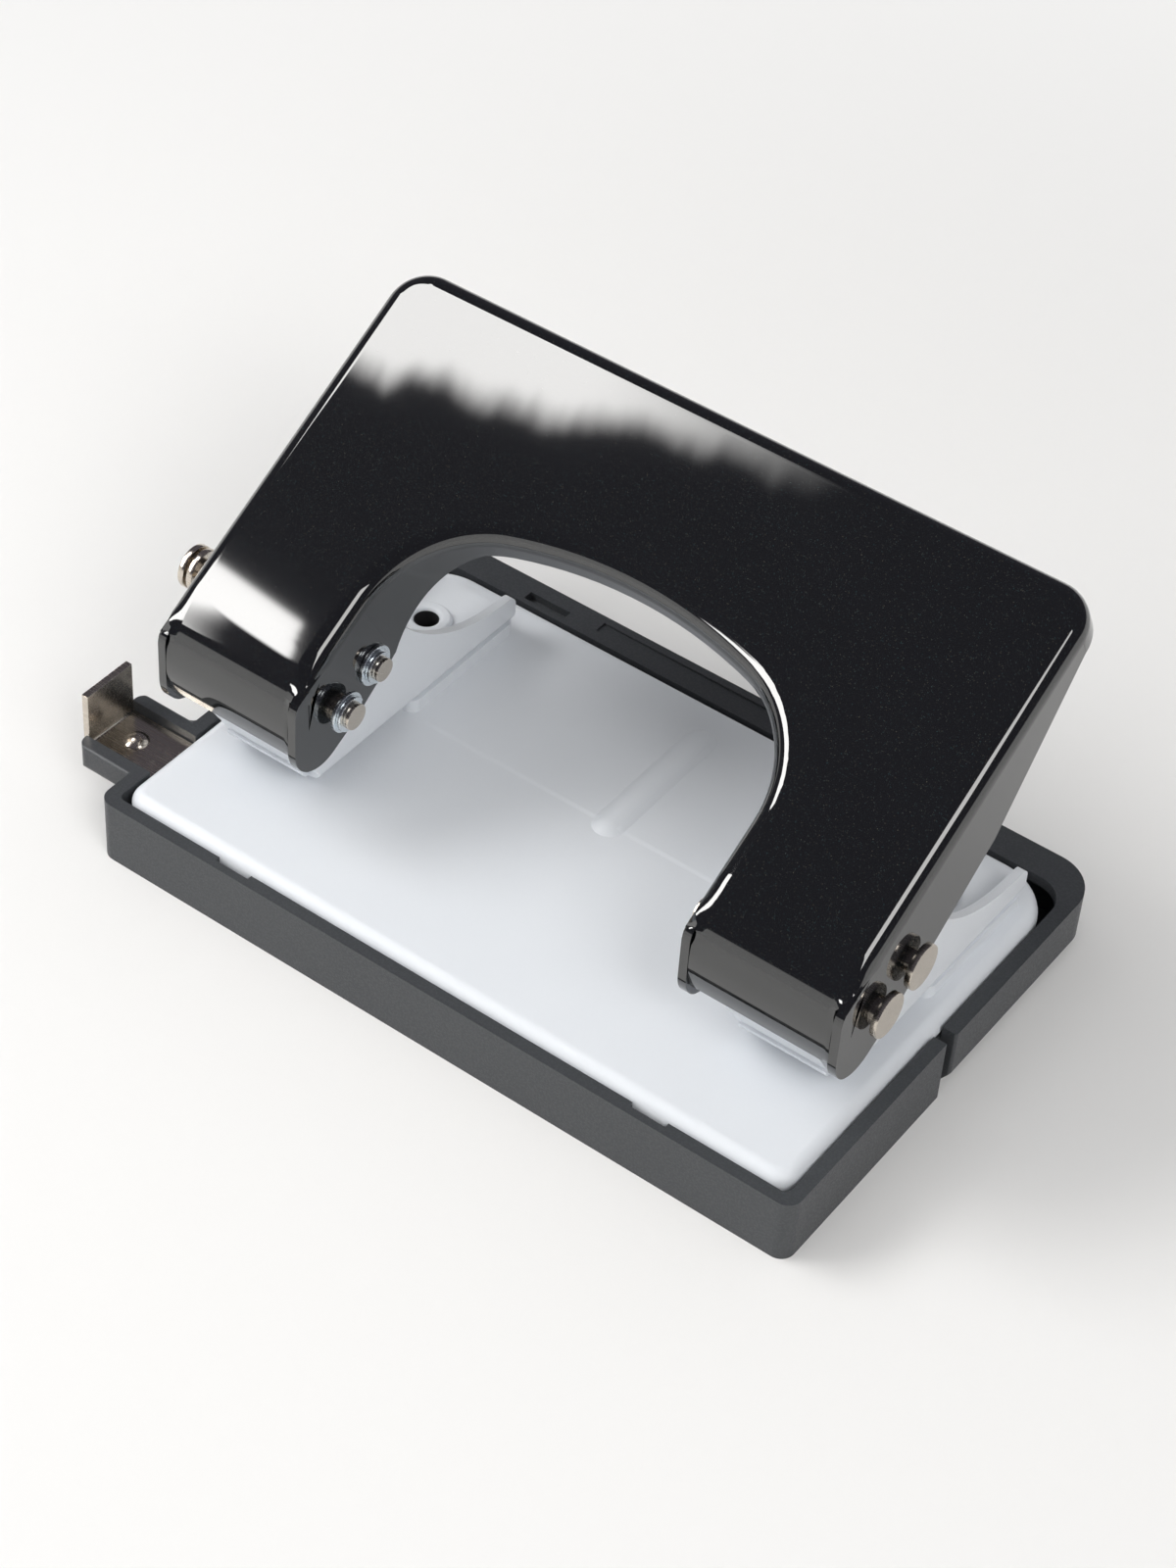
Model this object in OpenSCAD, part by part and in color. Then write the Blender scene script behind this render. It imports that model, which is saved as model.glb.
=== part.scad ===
// Two-hole desk punch. A pressed-steel lever turns on two hinge pins, held in two channel
// brackets, and drives two round punches through a sheet-steel base plate. A plastic tray
// under the plate holds the chips, and its rear half swings down to empty them.
// X runs left to right, Y from the paper's side to the rear, Z up from the table.

/* [Holes] */
// Distance between the centres of the two holes
hole_pitch = 80; // [70:0.5:108]
// Diameter of the punches
punch_d = 6; // [5:0.1:7]
// From the hole's centre to the paper's edge
hole_margin = 12; // [10:0.5:14]
// Height of the slot that takes the paper
paper_gap = 2; // [1.2:0.1:3]

/* [Tray] */
// From each hole's centre to the tray's end, over the front part
end_margin = 13.4; // [12:0.1:20]
// Depth of the tray, front to rear
tray_dep = 70; // [68:0.5:84]
// Height of the tray's rim
tray_h = 9.7; // [9.5:0.1:14]
// Thickness of the tray's floor
tray_floor = 1.4; // [1:0.1:2]
// Thickness of the tray's front wall
front_wall = 1.8; // [1.2:0.1:3]
// Thickness of the tray's side walls
side_wall = 1.9; // [1.4:0.1:3]
// Thickness of the chip door's rear wall
rear_wall = 1.8; // [1.2:0.1:3]
// Width of the rim along the rear of the chip door
rear_rim = 4.9; // [4:0.1:8]
// Thickness of that rim
rim_t = 1.6; // [1:0.1:2.4]
// How far the chip door's sides stand out past the front part
door_proud = 0.2; // [0:0.1:2]
// Width of the bevel along the chip door's lower sides
door_bevel = 1.8; // [1:0.1:2]
// Height of that bevel
door_bevel_h = 2.7; // [1.5:0.1:3.2]
// Length of the slot in the chip door's rim
rim_slot_len = 6.7; // [4:0.1:10]
// Width of that slot
rim_slot_w = 1.6; // [1:0.1:2]
// Depth of that slot
rim_slot_d = 1.1; // [0.5:0.1:1.3]
// Length of the bare panel along the chip door's rim
panel_len = 48; // [30:1:60]
// Width of that panel
panel_w = 1.9; // [1:0.1:2.2]
// Depth of that panel
panel_d = 0.3; // [0.2:0.1:0.6]
// Radius of the tray's front corners
tray_front_r = 2; // [1:0.1:4]
// Radius of the tray's rear corners
tray_rear_r = 6; // [3:0.1:9]
// Where the tray's floor splits, from the middle
floor_split = 1; // [0.4:0.1:3]
// Where the side walls split, from the middle
wall_split = -1.7; // [-5:0.1:-1]
// Gap between the two parts of the tray, along the floor
split_gap = 0.9; // [0.8:0.1:2]
// Gap between the two parts of the tray, at the side walls
wall_gap = 2; // [1.2:0.1:3]
// Chip door's hinge, forward of the side walls' split
door_axis_back = 4.8; // [3:0.1:6]
// Height of the chip door's hinge
door_axis_h = 4; // [3.4:0.1:5]
// Diameter of the chip door's hinge stubs
stub_d = 3; // [2:0.1:4]
// Radius of the ears that carry the stubs
ear_r = 3.7; // [3:0.1:4]
// Thickness of the ears
ear_t = 1.4; // [1:0.1:2]

/* [Base plate] */
// How far the plate stands above the tray's rim
plate_proud = 0.8; // [0.2:0.1:2]
// Thickness of the plate's sheet
plate_t = 1.2; // [0.8:0.1:2]
// Outer radius of the plate's rolled edge
plate_edge_r = 2; // [1.6:0.1:3]
// Radius of the plate's front corners
plate_front_r = 3; // [2.4:0.1:6]
// Radius of the plate's rear corners
plate_rear_r = 8.5; // [4:0.1:12]
// Height of the skirt's lower edge above the tray's floor
skirt_lift = 1.6; // [1:0.1:2.4]
// Width of the centre rib
rib_w = 4.6; // [2:0.1:6]
// Height of the centre rib
rib_h = 0.8; // [0.4:0.1:1]
// Length of the centre rib
rib_len = 20; // [10:0.5:24]

/* [Brackets] */
// Thickness of the brackets' sheet
bracket_t = 1.2; // [0.8:0.1:1.6]
// Outer radius of the bend between floor and walls
bracket_bend_r = 1.8; // [1.7:0.1:2.6]
// Rear end of the brackets, behind the paper stop
bracket_tail = 21.5; // [18:0.5:24]
// Height of the walls at the tail
tail_h = 4.8; // [4.4:0.1:7]
// Radius of the hollow along the top of the walls
scoop_r = 30.3; // [26:0.1:36]
// Radius of the walls' rear corners
tail_r = 1.6; // [1:0.1:2.4]
// Metal round the punch pin's slot, at the top of the walls
ear_rim = 2.7; // [2:0.1:3.4]
// How far the walls stay inside the lever's flanges round the hinge
wall_in = 0.2; // [0.1:0.1:0.6]
// How far the pads reach past the brackets' rear ends
pad_past = 0.4; // [0.1:0.1:1]
// How far the pads stay inside the brackets' sides
pad_in = 0.2; // [0.1:0.1:1]
// Radius of the pads' corners
pad_r = 1.4; // [1.3:0.1:3]
// Length of the turned-up lip at the front
lip_len = 7; // [4:0.1:8]
// Slope of that lip
lip_slope = 58; // [45:1:70]
// Height of the collar that guides the punch
collar_h = 2.8; // [2:0.1:4]
// Wall of that collar
collar_wall = 1.2; // [0.8:0.1:1.6]
// Bore of the hollow rivet that holds the bracket
rivet_bore = 3.4; // [3:0.1:5]
// Wall of the hollow rivet
rivet_wall = 0.6; // [0.4:0.1:1]
// Width of the rivet's rolled rims
rivet_roll = 1.2; // [0.8:0.1:1.6]
// Height of those rims
rivet_lip = 0.7; // [0.5:0.1:1]
// From the paper stop to the rivet
rivet_back = 13; // [10:0.5:15]

/* [Lever] */
// Width of each leg, over its side flanges
leg_w = 22.2; // [20:0.1:24]
// Thickness of the lever's sheet
lever_t = 1.2; // [0.8:0.1:1.6]
// Clear space between a side flange and the bracket's wall
leg_gap = 1.5; // [0.6:0.05:2]
// Slope of the lever's top at rest
lever_slope = 30; // [26:0.5:34]
// From the hinge to the lever's top, square to the sheet
lever_rise = 10.67; // [10:0.1:13]
// From the hinge to the lever's rear edge, along the slope
lever_reach = 53.1; // [48:0.1:60]
// From the hinge to the front of the legs
lever_front = 8.3; // [7.5:0.1:10]
// Radius of the bend at the front of the legs
nose_r = 12; // [9:0.1:14]
// Radius of the lever's rolled edge
lever_edge_r = 2.5; // [2:0.1:3]
// Radius of the lever's rear corners
lever_corner_r = 5.5; // [4:0.1:9]
// Depth of the turned-down lip along the rear edge
lip_depth = 5; // [4:0.1:7]
// From the hinge to the top of the arch, along the slope
arch_top = 28.3; // [24:0.1:34]
// Radius of the arch's shoulders, nearly
arch_shoulder = 16; // [13:0.5:19]
// Slope of the flange under the arch's shoulders, from the sheet
shoulder_slope = 36; // [28:1:44]
// From the hinge to the knee of the side flanges, along the slope
knee_s = 24.8; // [20:0.1:30]
// Depth of the side flanges at the knee
knee_depth = 13.5; // [10:0.1:14]
// Radius of the flange round the hinge
eye_r = 5.6; // [4.5:0.1:6]
// Radius of the flange's front tip
tip_r = 5; // [4:0.1:5.4]
// From the hinge down to the flange's tip
tip_drop = 7.5; // [6.5:0.1:8]
// From the hinge down to the lower edge of the tab at the front of each leg
tab_drop = 4; // [3:0.1:6]
// Width of the slits beside the front tab
slit_w = 0.3; // [0.3:0.1:1]
// From the hinge up to the ends of the slits
slit_up = 4.2; // [3:0.1:4.6]
// From the hinge up to the front corner of the flange
horn_up = 5.5; // [5:0.1:6]
// Angle through which the lever is pressed
press_angle = 35; // [28:1:38]

/* [Pins] */
// Hinge's place behind the middle of the tray
hinge_y = -16.9; // [-18:0.1:-15]
// From the bracket's underside up to the hinge
hinge_rise = 14.5; // [14:0.1:18]
// Distance from the hinge pin to the punch pin
pin_reach = 7.19; // [6.6:0.01:8]
// Angle of the punch pin above the hinge pin at rest
pin_angle = 21.2; // [16:0.1:24]
// Diameter of the hinge pins
hinge_pin_d = 3.6; // [3:0.1:4]
// Diameter of the punch pins
punch_pin_d = 3.2; // [2.6:0.1:3.4]
// Diameter of the pins' heads
head_d = 6; // [5.4:0.1:7]
// Thickness of the pins' heads
head_t = 0.9; // [0.6:0.1:1.6]
// Length of the neck between the leg and the pin's head
head_neck = 0.7; // [0.2:0.1:1.2]
// Length of that neck on the left punch pin, which ends in a knob
knob_neck = 5.1; // [3:0.1:6]
// Width of the groove round that knob
knob_groove = 0.5; // [0.3:0.1:0.8]
// How far the hinge washers stand off the legs
washer_off = 1; // [0.2:0.1:1.4]
// Diameter of the washers
washer_d = 5.6; // [5:0.1:7]
// Thickness of the washers
washer_t = 0.5; // [0.4:0.1:1]
// Thickness of the retaining rings
ring_t = 0.6; // [0.4:0.1:1]
// Width of each retaining ring's wall
ring_wall = 0.9; // [0.6:0.1:1.2]
// Depth of the grooves that hold the rings
groove = 0.3; // [0.2:0.05:0.5]
// Length of the pins past the rings
pin_end = 0.8; // [0.4:0.1:1.6]

/* [Springs] */
// Diameter of the springs' wire
wire_d = 0.8; // [0.6:0.05:1]
// Turns in each spring
turns = 6.5; // [4:0.5:7]
// Width of the spring collars' rim
seat_w = 2.6; // [2.2:0.1:2.8]
// Thickness of the spring collars
seat_t = 1.2; // [0.8:0.1:1.6]
// Space between the spring collar and the slot above it
seat_gap = 2.3; // [2:0.1:3]

/* [Gauge] */
// Width of the gauge's strip
gauge_w = 8.5; // [7:0.1:10]
// Thickness of the gauge's strip
gauge_t = 1; // [0.8:0.1:1.4]
// From the tray's front to the middle of the gauge
gauge_in = 12.2; // [11:0.1:13]
// Thickness of the guide's rails and ribs
guide_rail = 1.2; // [0.8:0.1:1.6]
// Number of ribs that the strip slides on
guide_ribs = 5; // [2:1:9]
// How far the lug stands out from the tray
lug_len = 8.9; // [8:0.1:14]
// Width of the rims beside the strip on the lug
lug_rim = 2; // [1.2:0.1:3]
// Height of the lug
lug_h = 4.4; // [3.6:0.1:6]
// Radius of the lug's lower edges and of its corners
lug_r = 1.6; // [1:0.1:2]
// Height of the paper stop above the strip
stop_h = 8; // [5:0.1:12]
// Radius of the bend at the stop
stop_bend_r = 1.4; // [1.2:0.1:2]
// Diameter of the gauge's rivet
gauge_rivet_d = 3.6; // [2.4:0.1:5]
// Height of that rivet's dome
gauge_rivet_h = 0.9; // [0.5:0.1:1.1]
// From the paper stop to that rivet
gauge_rivet_in = 4.2; // [3:0.1:5]
// Length by which the gauge stays in its guide when drawn out
gauge_hold = 10; // [6:0.5:14]
// How far the gauge draws out
gauge_travel = 86.5; // [60:0.5:88]

/* [Clearances] */
// Between the plate's skirt and the tray's walls
plate_gap = 0.3; // [0.2:0.05:0.6]
// Between the plate's rear edge and the door's rim
rear_gap = 0.6; // [0.4:0.05:1]
// Radial clearance of a turning or sliding fit
run_gap = 0.05; // [0.02:0.01:0.08]
// Radial clearance of a fixed pin or ring
seat_fit = 0.02; // [0.01:0.01:0.04]
// Between a pin and the slot it moves in
slot_gap = 0.3; // [0.2:0.05:0.5]
// Between the gauge's strip and its guide
slide_gap = 0.15; // [0.1:0.05:0.3]
// Between a spring and what it stands on
coil_room = 0.1; // [0.05:0.05:0.2]

/* [Hidden] */
$fn = 64;
eps = 0.01;
over = 1;
// Where two runs of one sheet meet, one is this much thinner on each side
thin = 0.01;
// and is let this far into the other
let_in = 0.12;

// Radius of the plastic's small edges, and of the tray's inner corners
soft_r = 0.4;
inner_r = 1;

// Tray and plate
tray_x = hole_pitch / 2 + end_margin;
tray_y = tray_dep / 2;
door_x = tray_x + door_proud;
inner_x = tray_x - side_wall;
plate_x = inner_x - plate_gap;
plate_y0 = -tray_y + front_wall + plate_gap;
plate_y1 = tray_y - rear_rim - rear_gap;
plate_top = tray_h + plate_proud;
plate_under = plate_top - plate_t;
skirt_z = tray_floor + skirt_lift;
skirt_top = plate_top - plate_edge_r;
door_axis_y = wall_split - door_axis_back;
door_floor_y = floor_split + split_gap;
door_wall_y = wall_split + wall_gap;
ear_x = inner_x - plate_gap;
// Length by which the ears lie along the door's sides
ear_root = 6;
// How far the stubs stay inside the tray's sides
stub_in = 0.2;
ear_slot = ear_t + 2 * plate_gap;
notch_front = door_axis_y - ear_r - over;
notch_rear = door_wall_y + ear_root + over;
// Blocks that the skirt stands on, and dips in the front rim
rest_len = 8;
rest_w = 2 * plate_t;
dip_in = 8;
dip_len = 5.2;
dip_w = 0.7;
dip_d = 1.4;
// The slot in the door's rim, from the left hole, and the slot and panel, from the rim's edge
rim_slot_x = 4.5;
rim_slot_in = 0.8;
panel_in = 1.8;

// Pins, punches and brackets
bracket_z = plate_top + paper_gap;
floor_z = bracket_z + bracket_t;
hinge_z = bracket_z + hinge_rise;
pin_y = hinge_y + pin_reach * cos(pin_angle);
pin_z = hinge_z + pin_reach * sin(pin_angle);
pin_low = pin_angle - press_angle;
punch_y = hinge_y + pin_reach * (1 + min(cos(pin_angle), cos(pin_low))) / 2;
pin_sway = pin_reach * (1 - min(cos(pin_angle), cos(pin_low))) / 2;
stroke = pin_reach * (sin(pin_angle) - sin(pin_low));
stop_y = punch_y + hole_margin;
tail_y = stop_y + bracket_tail;
bracket_x = leg_w / 2 - lever_t - leg_gap;
pad_x = bracket_x - pad_in;
pad_y1 = tail_y + pad_past;
ear_top = pin_z + punch_pin_d / 2 + slot_gap + ear_rim;
rivet_y = stop_y + rivet_back;
rivet_r = rivet_bore / 2 + rivet_wall;
rivet_rim = rivet_r + rivet_roll;
slot_r = punch_pin_d / 2 + slot_gap;
// The punch's tip at rest, and the metal over its slot
tip_lift = 0.2;
slot_cover = 1.6;
punch_tip = bracket_z + tip_lift;
punch_top = pin_z + slot_r + slot_cover;
seat_z = pin_z - slot_r - seat_gap - seat_t;
collar_r = punch_d / 2 + run_gap + collar_wall;
// Each turn of a coil is drawn in this many steps, whose chords still clear the collar
coil_steps = 8;
coil_r = (collar_r + coil_room + wire_d / 2) / cos(180 / coil_steps);
coil_z0 = floor_z + coil_room + wire_d / 2;
coil_z1 = seat_z - coil_room - wire_d / 2;

// Lever, about the hinge: y and z level, s along the slope, h square to the sheet
leg_x = leg_w / 2;
lever_x = hole_pitch / 2 + leg_x;
arch_x = hole_pitch / 2 - leg_x;
bend_h = lever_rise - lever_edge_r;
nose_y = nose_r - lever_front;
nose_h = lever_rise - nose_r;
nose_z = snap((nose_h + sin(lever_slope) * nose_y) / cos(lever_slope));
nose_s = snap(cos(lever_slope) * nose_y + sin(lever_slope) * nose_z);
// The arch's arcs meet on a line along [7, 24], so that their centres fall on round figures
arch_line = [0.28, 0.96];
arch_spread = round((arch_x - arch_shoulder) / arch_line.x);
shoulder_x = arch_spread * arch_line.x;
arch_shoulder_r = arch_x - shoulder_x;
arch_crown_r = arch_spread + arch_shoulder_r;
crown_s = arch_top - arch_crown_r;
shoulder_s = crown_s + arch_spread * arch_line.y;
arch_far = [0, crown_s] + 4 * arch_spread * arch_line;
knee_h = lever_rise - knee_depth;
corner_s = lever_reach - lever_corner_r;
tip_y = tip_r - lever_front;
tip_z = tip_r - tip_drop;
// Roundness of the flange's front corner
horn_back = 0.8;

// Gauge
gauge_y = -tray_y + gauge_in;
// Room over the strip, and how far the stop stands off the lug
strip_room = 0.2;
stop_off = 0.7;
gauge_top = skirt_top - strip_room;
gauge_z = gauge_top - gauge_t;
lug_x = tray_x + lug_len;
stop_x = lug_x + stop_off;
guide_y = gauge_w / 2 + slide_gap;
gauge_end = gauge_travel + gauge_hold - tray_x;

PLATE = [0.87, 0.89, 0.91];
PLASTIC = [0.17, 0.18, 0.2];
BLACK = [0.03, 0.035, 0.04];
NICKEL = [0.72, 0.68, 0.62];
ZINC = [0.7, 0.75, 0.78];
STEEL = [0.6, 0.61, 0.63];

// A length to the nearest micrometre
function snap(v) = round(v * 1000) / 1000;

// Unit vector in a direction
function dir(a) = [cos(a), sin(a)];

// A point given in level directions about the hinge, in the slope's directions
function tilt(p) = [p.x * cos(lever_slope) + p.y * sin(lever_slope),
  p.y * cos(lever_slope) - p.x * sin(lever_slope)];

// Where the line from p touches a circle of radius r about the middle, on its lower side
function touch(p, r) =
  r * dir(atan2(p.y, p.x) - acos(r / norm(p)));

// Direction square to the line that lies under two circles, from the first to the second
function under(c1, r1, c2, r2) =
  let (d = c2 - c1)
  atan2(d.y, d.x) + acos((r1 - r2) / norm(d));

// Places its children at the left (-1) or right (1) hole, with +X pointing outwards
module at_hole(side) {
  mirror([side < 0 ? 1 : 0, 0, 0])
    translate([hole_pitch / 2, 0, 0])
      children();
}

// A 2D shape in Y and Z, made a sheet from x0 to x1
module side_sheet(x0, x1) {
  translate([x0, 0, 0])
    rotate([90, 0, 90])
      linear_extrude(x1 - x0)
        children();
}

// A round bar along X
module bar_x(r, x0, x1) {
  translate([x0, 0, 0])
    rotate([0, 90, 0])
      cylinder(h = x1 - x0, r = r);
}

// Quarter of a round bend, from its centre
module bend(r, t) {
  intersection() {
    difference() {
      circle(r);
      circle(r - t);
    }
    square(r + over);
  }
}

// Rectangle from corner a to corner b with its own radius at the low and high Y corners
module rounded(a, b, r_low, r_high) {
  difference() {
    translate(a)
      square(b - a);
    for (x = [0, 1]) {
      rounded_off([x ? b.x : a.x, a.y], [x ? -1 : 1, 1], r_low);
      rounded_off([x ? b.x : a.x, b.y], [x ? -1 : 1, -1], r_high);
    }
  }
}

// What a corner loses when it is rounded: p is the corner, d points into the shape
module rounded_off(p, d, r) {
  difference() {
    translate(p)
      scale([d.x, d.y])
        translate([-over, -over])
          square(r + over);
    translate([p.x + d.x * r, p.y + d.y * r])
      circle(r);
  }
}

// What lies outside an arc of radius r about c, between two directions
module outside_arc(c, r, a0, a1) {
  far = 2 * r;
  mid = (a0 + a1) / 2;
  difference() {
    polygon([c, c + far * dir(a0), c + far / cos((a1 - a0) / 2) * dir(mid), c + far * dir(a1)]);
    translate(c)
      circle(r);
  }
}

// Base plate

// Section of the plate's rolled edge and skirt, out from the bend's centre
module skirt_section() {
  translate([0, skirt_top])
    bend(plate_edge_r, plate_t);
  translate([plate_edge_r - plate_t, skirt_z])
    square([plate_t, skirt_top - skirt_z]);
}

module skirt_run(x, y, turn, length) {
  translate([x, y, 0])
    rotate([0, 0, turn])
      rotate([90, 0, 90])
        linear_extrude(length)
          skirt_section();
}

module skirt_corner(x, y, turn, r) {
  translate([x, y, 0])
    rotate([0, 0, turn])
      rotate_extrude(angle = 90)
        translate([r - plate_edge_r, 0])
          skirt_section();
}

module plate_pan() {
  e = plate_edge_r;
  low = plate_front_r;
  high = plate_rear_r;
  translate([0, 0, plate_under])
    linear_extrude(plate_t)
      rounded([-plate_x + e, plate_y0 + e], [plate_x - e, plate_y1 - e], low - e, high - e);
  skirt_run(-plate_x + high, plate_y1 - e, 0, 2 * (plate_x - high));
  skirt_run(plate_x - low, plate_y0 + e, 180, 2 * (plate_x - low));
  skirt_run(-plate_x + e, plate_y0 + low, 90, plate_y1 - plate_y0 - low - high);
  skirt_run(plate_x - e, plate_y1 - high, -90, plate_y1 - plate_y0 - low - high);
  skirt_corner(plate_x - high, plate_y1 - high, 0, high);
  skirt_corner(-plate_x + high, plate_y1 - high, 90, high);
  skirt_corner(-plate_x + low, plate_y0 + low, 180, low);
  skirt_corner(plate_x - low, plate_y0 + low, 270, low);
}

// Raised pad that carries a bracket, pressed up from the sheet
module pad(grow, top) {
  translate([0, 0, plate_under - eps])
    linear_extrude(top - plate_under + eps)
      rounded([-pad_x - grow, stop_y - grow], [pad_x + grow, pad_y1 + grow], pad_r + grow, pad_r + grow);
}

module centre_rib() {
  r = (pow(rib_w / 2, 2) + pow(rib_h, 2)) / (2 * rib_h);
  z = plate_top + rib_h - r;
  intersection() {
    union() {
      translate([0, stop_y, z])
        rotate([-90, 0, 0])
          cylinder(h = rib_len, r = r);
      for (y = [0, rib_len])
        translate([0, stop_y + y, z])
          sphere(r);
    }
    translate([-rib_w, stop_y - rib_w, plate_under + plate_t / 2])
      cube([2 * rib_w, rib_len + 2 * rib_w, plate_t / 2 + rib_h + over]);
  }
}

module base_plate() {
  color(PLATE)
    difference() {
      union() {
        plate_pan();
        centre_rib();
        for (side = [-1, 1])
          at_hole(side)
            pad(0, bracket_z);
      }
      for (side = [-1, 1])
        at_hole(side) {
          translate([0, 0, -over])
            pad(-plate_t, bracket_z - plate_t + over);
          translate([0, punch_y, plate_under - over])
            cylinder(h = plate_t + 2 * over, r = punch_d / 2 + run_gap);
          translate([0, rivet_y, plate_under])
            cylinder(h = bracket_z, r = rivet_r + seat_fit);
        }
      // Ways out for the gauge and room for the door's ears
      translate([-plate_x - over, gauge_y - guide_y - guide_rail - plate_gap, 0])
        cube([plate_t + 2 * over, 2 * (guide_y + guide_rail + plate_gap), skirt_top]);
      for (side = [-1, 1])
        translate([side * (plate_x - plate_t / 2) - plate_t, notch_front, 0])
          cube([2 * plate_t, notch_rear - notch_front, skirt_top]);
    }
}

// Tray

// The guide for the gauge: two rails, joined by the ribs that the strip slides on
module gauge_guide() {
  rail_len = 2 * inner_x - 2 * over - side_wall;
  step = (rail_len - guide_rail) / (guide_ribs - 1);
  for (y = [-guide_y - guide_rail, guide_y])
    translate([-inner_x + over, gauge_y + y, tray_floor - eps])
      cube([rail_len, guide_rail, gauge_top - tray_floor]);
  for (i = [0 : guide_ribs - 1])
    translate([-inner_x + over + i * step, gauge_y - guide_y - eps, tray_floor - eps])
      cube([guide_rail, 2 * (guide_y + eps), gauge_z - slide_gap - tray_floor]);
}

// The lug that carries the gauge outside the tray, round along its lower edges
module lug() {
  half = guide_y + lug_rim;
  difference() {
    translate([-lug_x, gauge_y, tray_h - lug_h])
      rotate([90, 0, 90])
        linear_extrude(lug_len + side_wall)
          rounded([-half, 0], [half, lug_h], lug_r, soft_r);
    translate([-lug_x, gauge_y, 0])
      for (d = [-1, 1])
        linear_extrude(tray_h + over)
          rounded_off([0, d * half], [1, -d], lug_r);
  }
  // Fillet between the lug and the tray's side
  translate([-tray_x, gauge_y + half, tray_h - lug_h + lug_r])
    linear_extrude(lug_h - lug_r - soft_r)
      rounded_off([0, 0], [-1, 1], lug_r);
}

// Blocks on the tray's floor that the plate's skirt stands on
module skirt_rests() {
  for (x = [-0.6, 0, 0.6])
    translate([x * plate_x - rest_len / 2, -tray_y + front_wall - eps, tray_floor - eps])
      cube([rest_len, rest_w, skirt_lift + eps]);
  for (side = [-1, 1])
    translate([side * (inner_x - rest_w / 2) - rest_w / 2, notch_front - rest_len, tray_floor - eps])
      cube([rest_w, rest_len, skirt_lift + eps]);
}

// Shallow notches in the front wall's rim, level with the paper's way to each punch
module rim_notches() {
  for (side = [-1, 1])
    translate([side * (hole_pitch / 2 - dip_in), -tray_y + front_wall - dip_w, tray_h - dip_d])
      translate([-dip_len / 2, 0, 0])
        cube([dip_len, dip_w + over, dip_d + over]);
}

module front_tray() {
  color(PLASTIC)
    difference() {
      union() {
        difference() {
          linear_extrude(tray_h)
            rounded([-tray_x, -tray_y], [tray_x, floor_split], tray_front_r, 0);
          translate([0, 0, tray_floor])
            linear_extrude(tray_h)
              rounded([-inner_x, -tray_y + front_wall], [inner_x, floor_split + over], inner_r, 0);
          for (side = [-1, 1])
            translate([side * (tray_x - side_wall / 2) - side_wall, wall_split, -over])
              cube([2 * side_wall, floor_split - wall_split + over, tray_h + 2 * over]);
        }
        gauge_guide();
        lug();
        skirt_rests();
      }
      translate([-lug_x - over, gauge_y - guide_y, gauge_z - slide_gap])
        cube([lug_len + side_wall + 2 * over, 2 * guide_y, tray_h]);
      translate([0, door_axis_y, door_axis_h])
        bar_x(stub_d / 2 + run_gap, -tray_x - over, tray_x + over);
      rim_notches();
      // Slots in the floor for the door's ears
      for (side = [-1, 1])
        translate([side * (ear_x - ear_t / 2) - ear_slot / 2, door_axis_y - ear_r - plate_gap, -over])
          cube([ear_slot, floor_split - door_axis_y + ear_r + plate_gap + over, tray_floor + 2 * over]);
    }
}

// Ear at the end of the chip door's side, with the stub that it turns on
module door_ear() {
  translate([0, door_axis_y, door_axis_h]) {
    side_sheet(ear_x - ear_t, ear_x)
      union() {
        circle(ear_r);
        translate([0, tray_floor - door_axis_h])
          square([door_wall_y + ear_root - door_axis_y, ear_r - tray_floor + door_axis_h]);
      }
    bar_x(stub_d / 2, ear_x - eps, tray_x - stub_in);
  }
  translate([ear_x - ear_t, door_wall_y, tray_floor - eps])
    cube([ear_t + 2 * plate_gap, ear_root, door_axis_h + ear_r - tray_floor]);
}

// What the door's lower right edge loses to its bevel
module door_side_bevel() {
  past = over / door_bevel;
  low = -past * door_bevel_h;
  translate([door_x, tray_y + over, 0])
    rotate([90, 0, 0])
      linear_extrude(tray_y - door_wall_y + 2 * over)
        polygon([[-door_bevel - over, low], [over, low], [over, (1 + past) * door_bevel_h]]);
}

module chip_door() {
  rim_y = tray_y - rear_rim;
  inner_rear_r = tray_rear_r - rear_wall;
  color(PLASTIC)
    difference() {
      union() {
        difference() {
          linear_extrude(tray_h)
            rounded([-door_x, door_wall_y], [door_x, tray_y], soft_r, tray_rear_r);
          translate([0, 0, tray_floor])
            linear_extrude(tray_h - rim_t - tray_floor)
              rounded([-inner_x, -tray_y], [inner_x, tray_y - rear_wall], inner_r, inner_rear_r);
          translate([0, 0, tray_floor])
            linear_extrude(tray_h)
              rounded([-inner_x, -tray_y], [inner_x, rim_y], inner_r, inner_rear_r);
          translate([-inner_x, door_wall_y - over, -over])
            cube([2 * inner_x, door_floor_y - door_wall_y + over, tray_h]);
        }
        door_ear();
        mirror([1, 0, 0])
          door_ear();
      }
      // Finger slot and bare panel in the rear rim
      translate([rim_slot_x - hole_pitch / 2, rim_y + rim_slot_in, tray_h - rim_slot_d])
        cube([rim_slot_len, rim_slot_w, rim_slot_d + over]);
      translate([-panel_len / 2, rim_y + panel_in, tray_h - panel_d])
        cube([panel_len, panel_w, panel_d + over]);
      for (side = [0, 1])
        mirror([side, 0, 0])
          door_side_bevel();
    }
}

// Brackets

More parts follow.
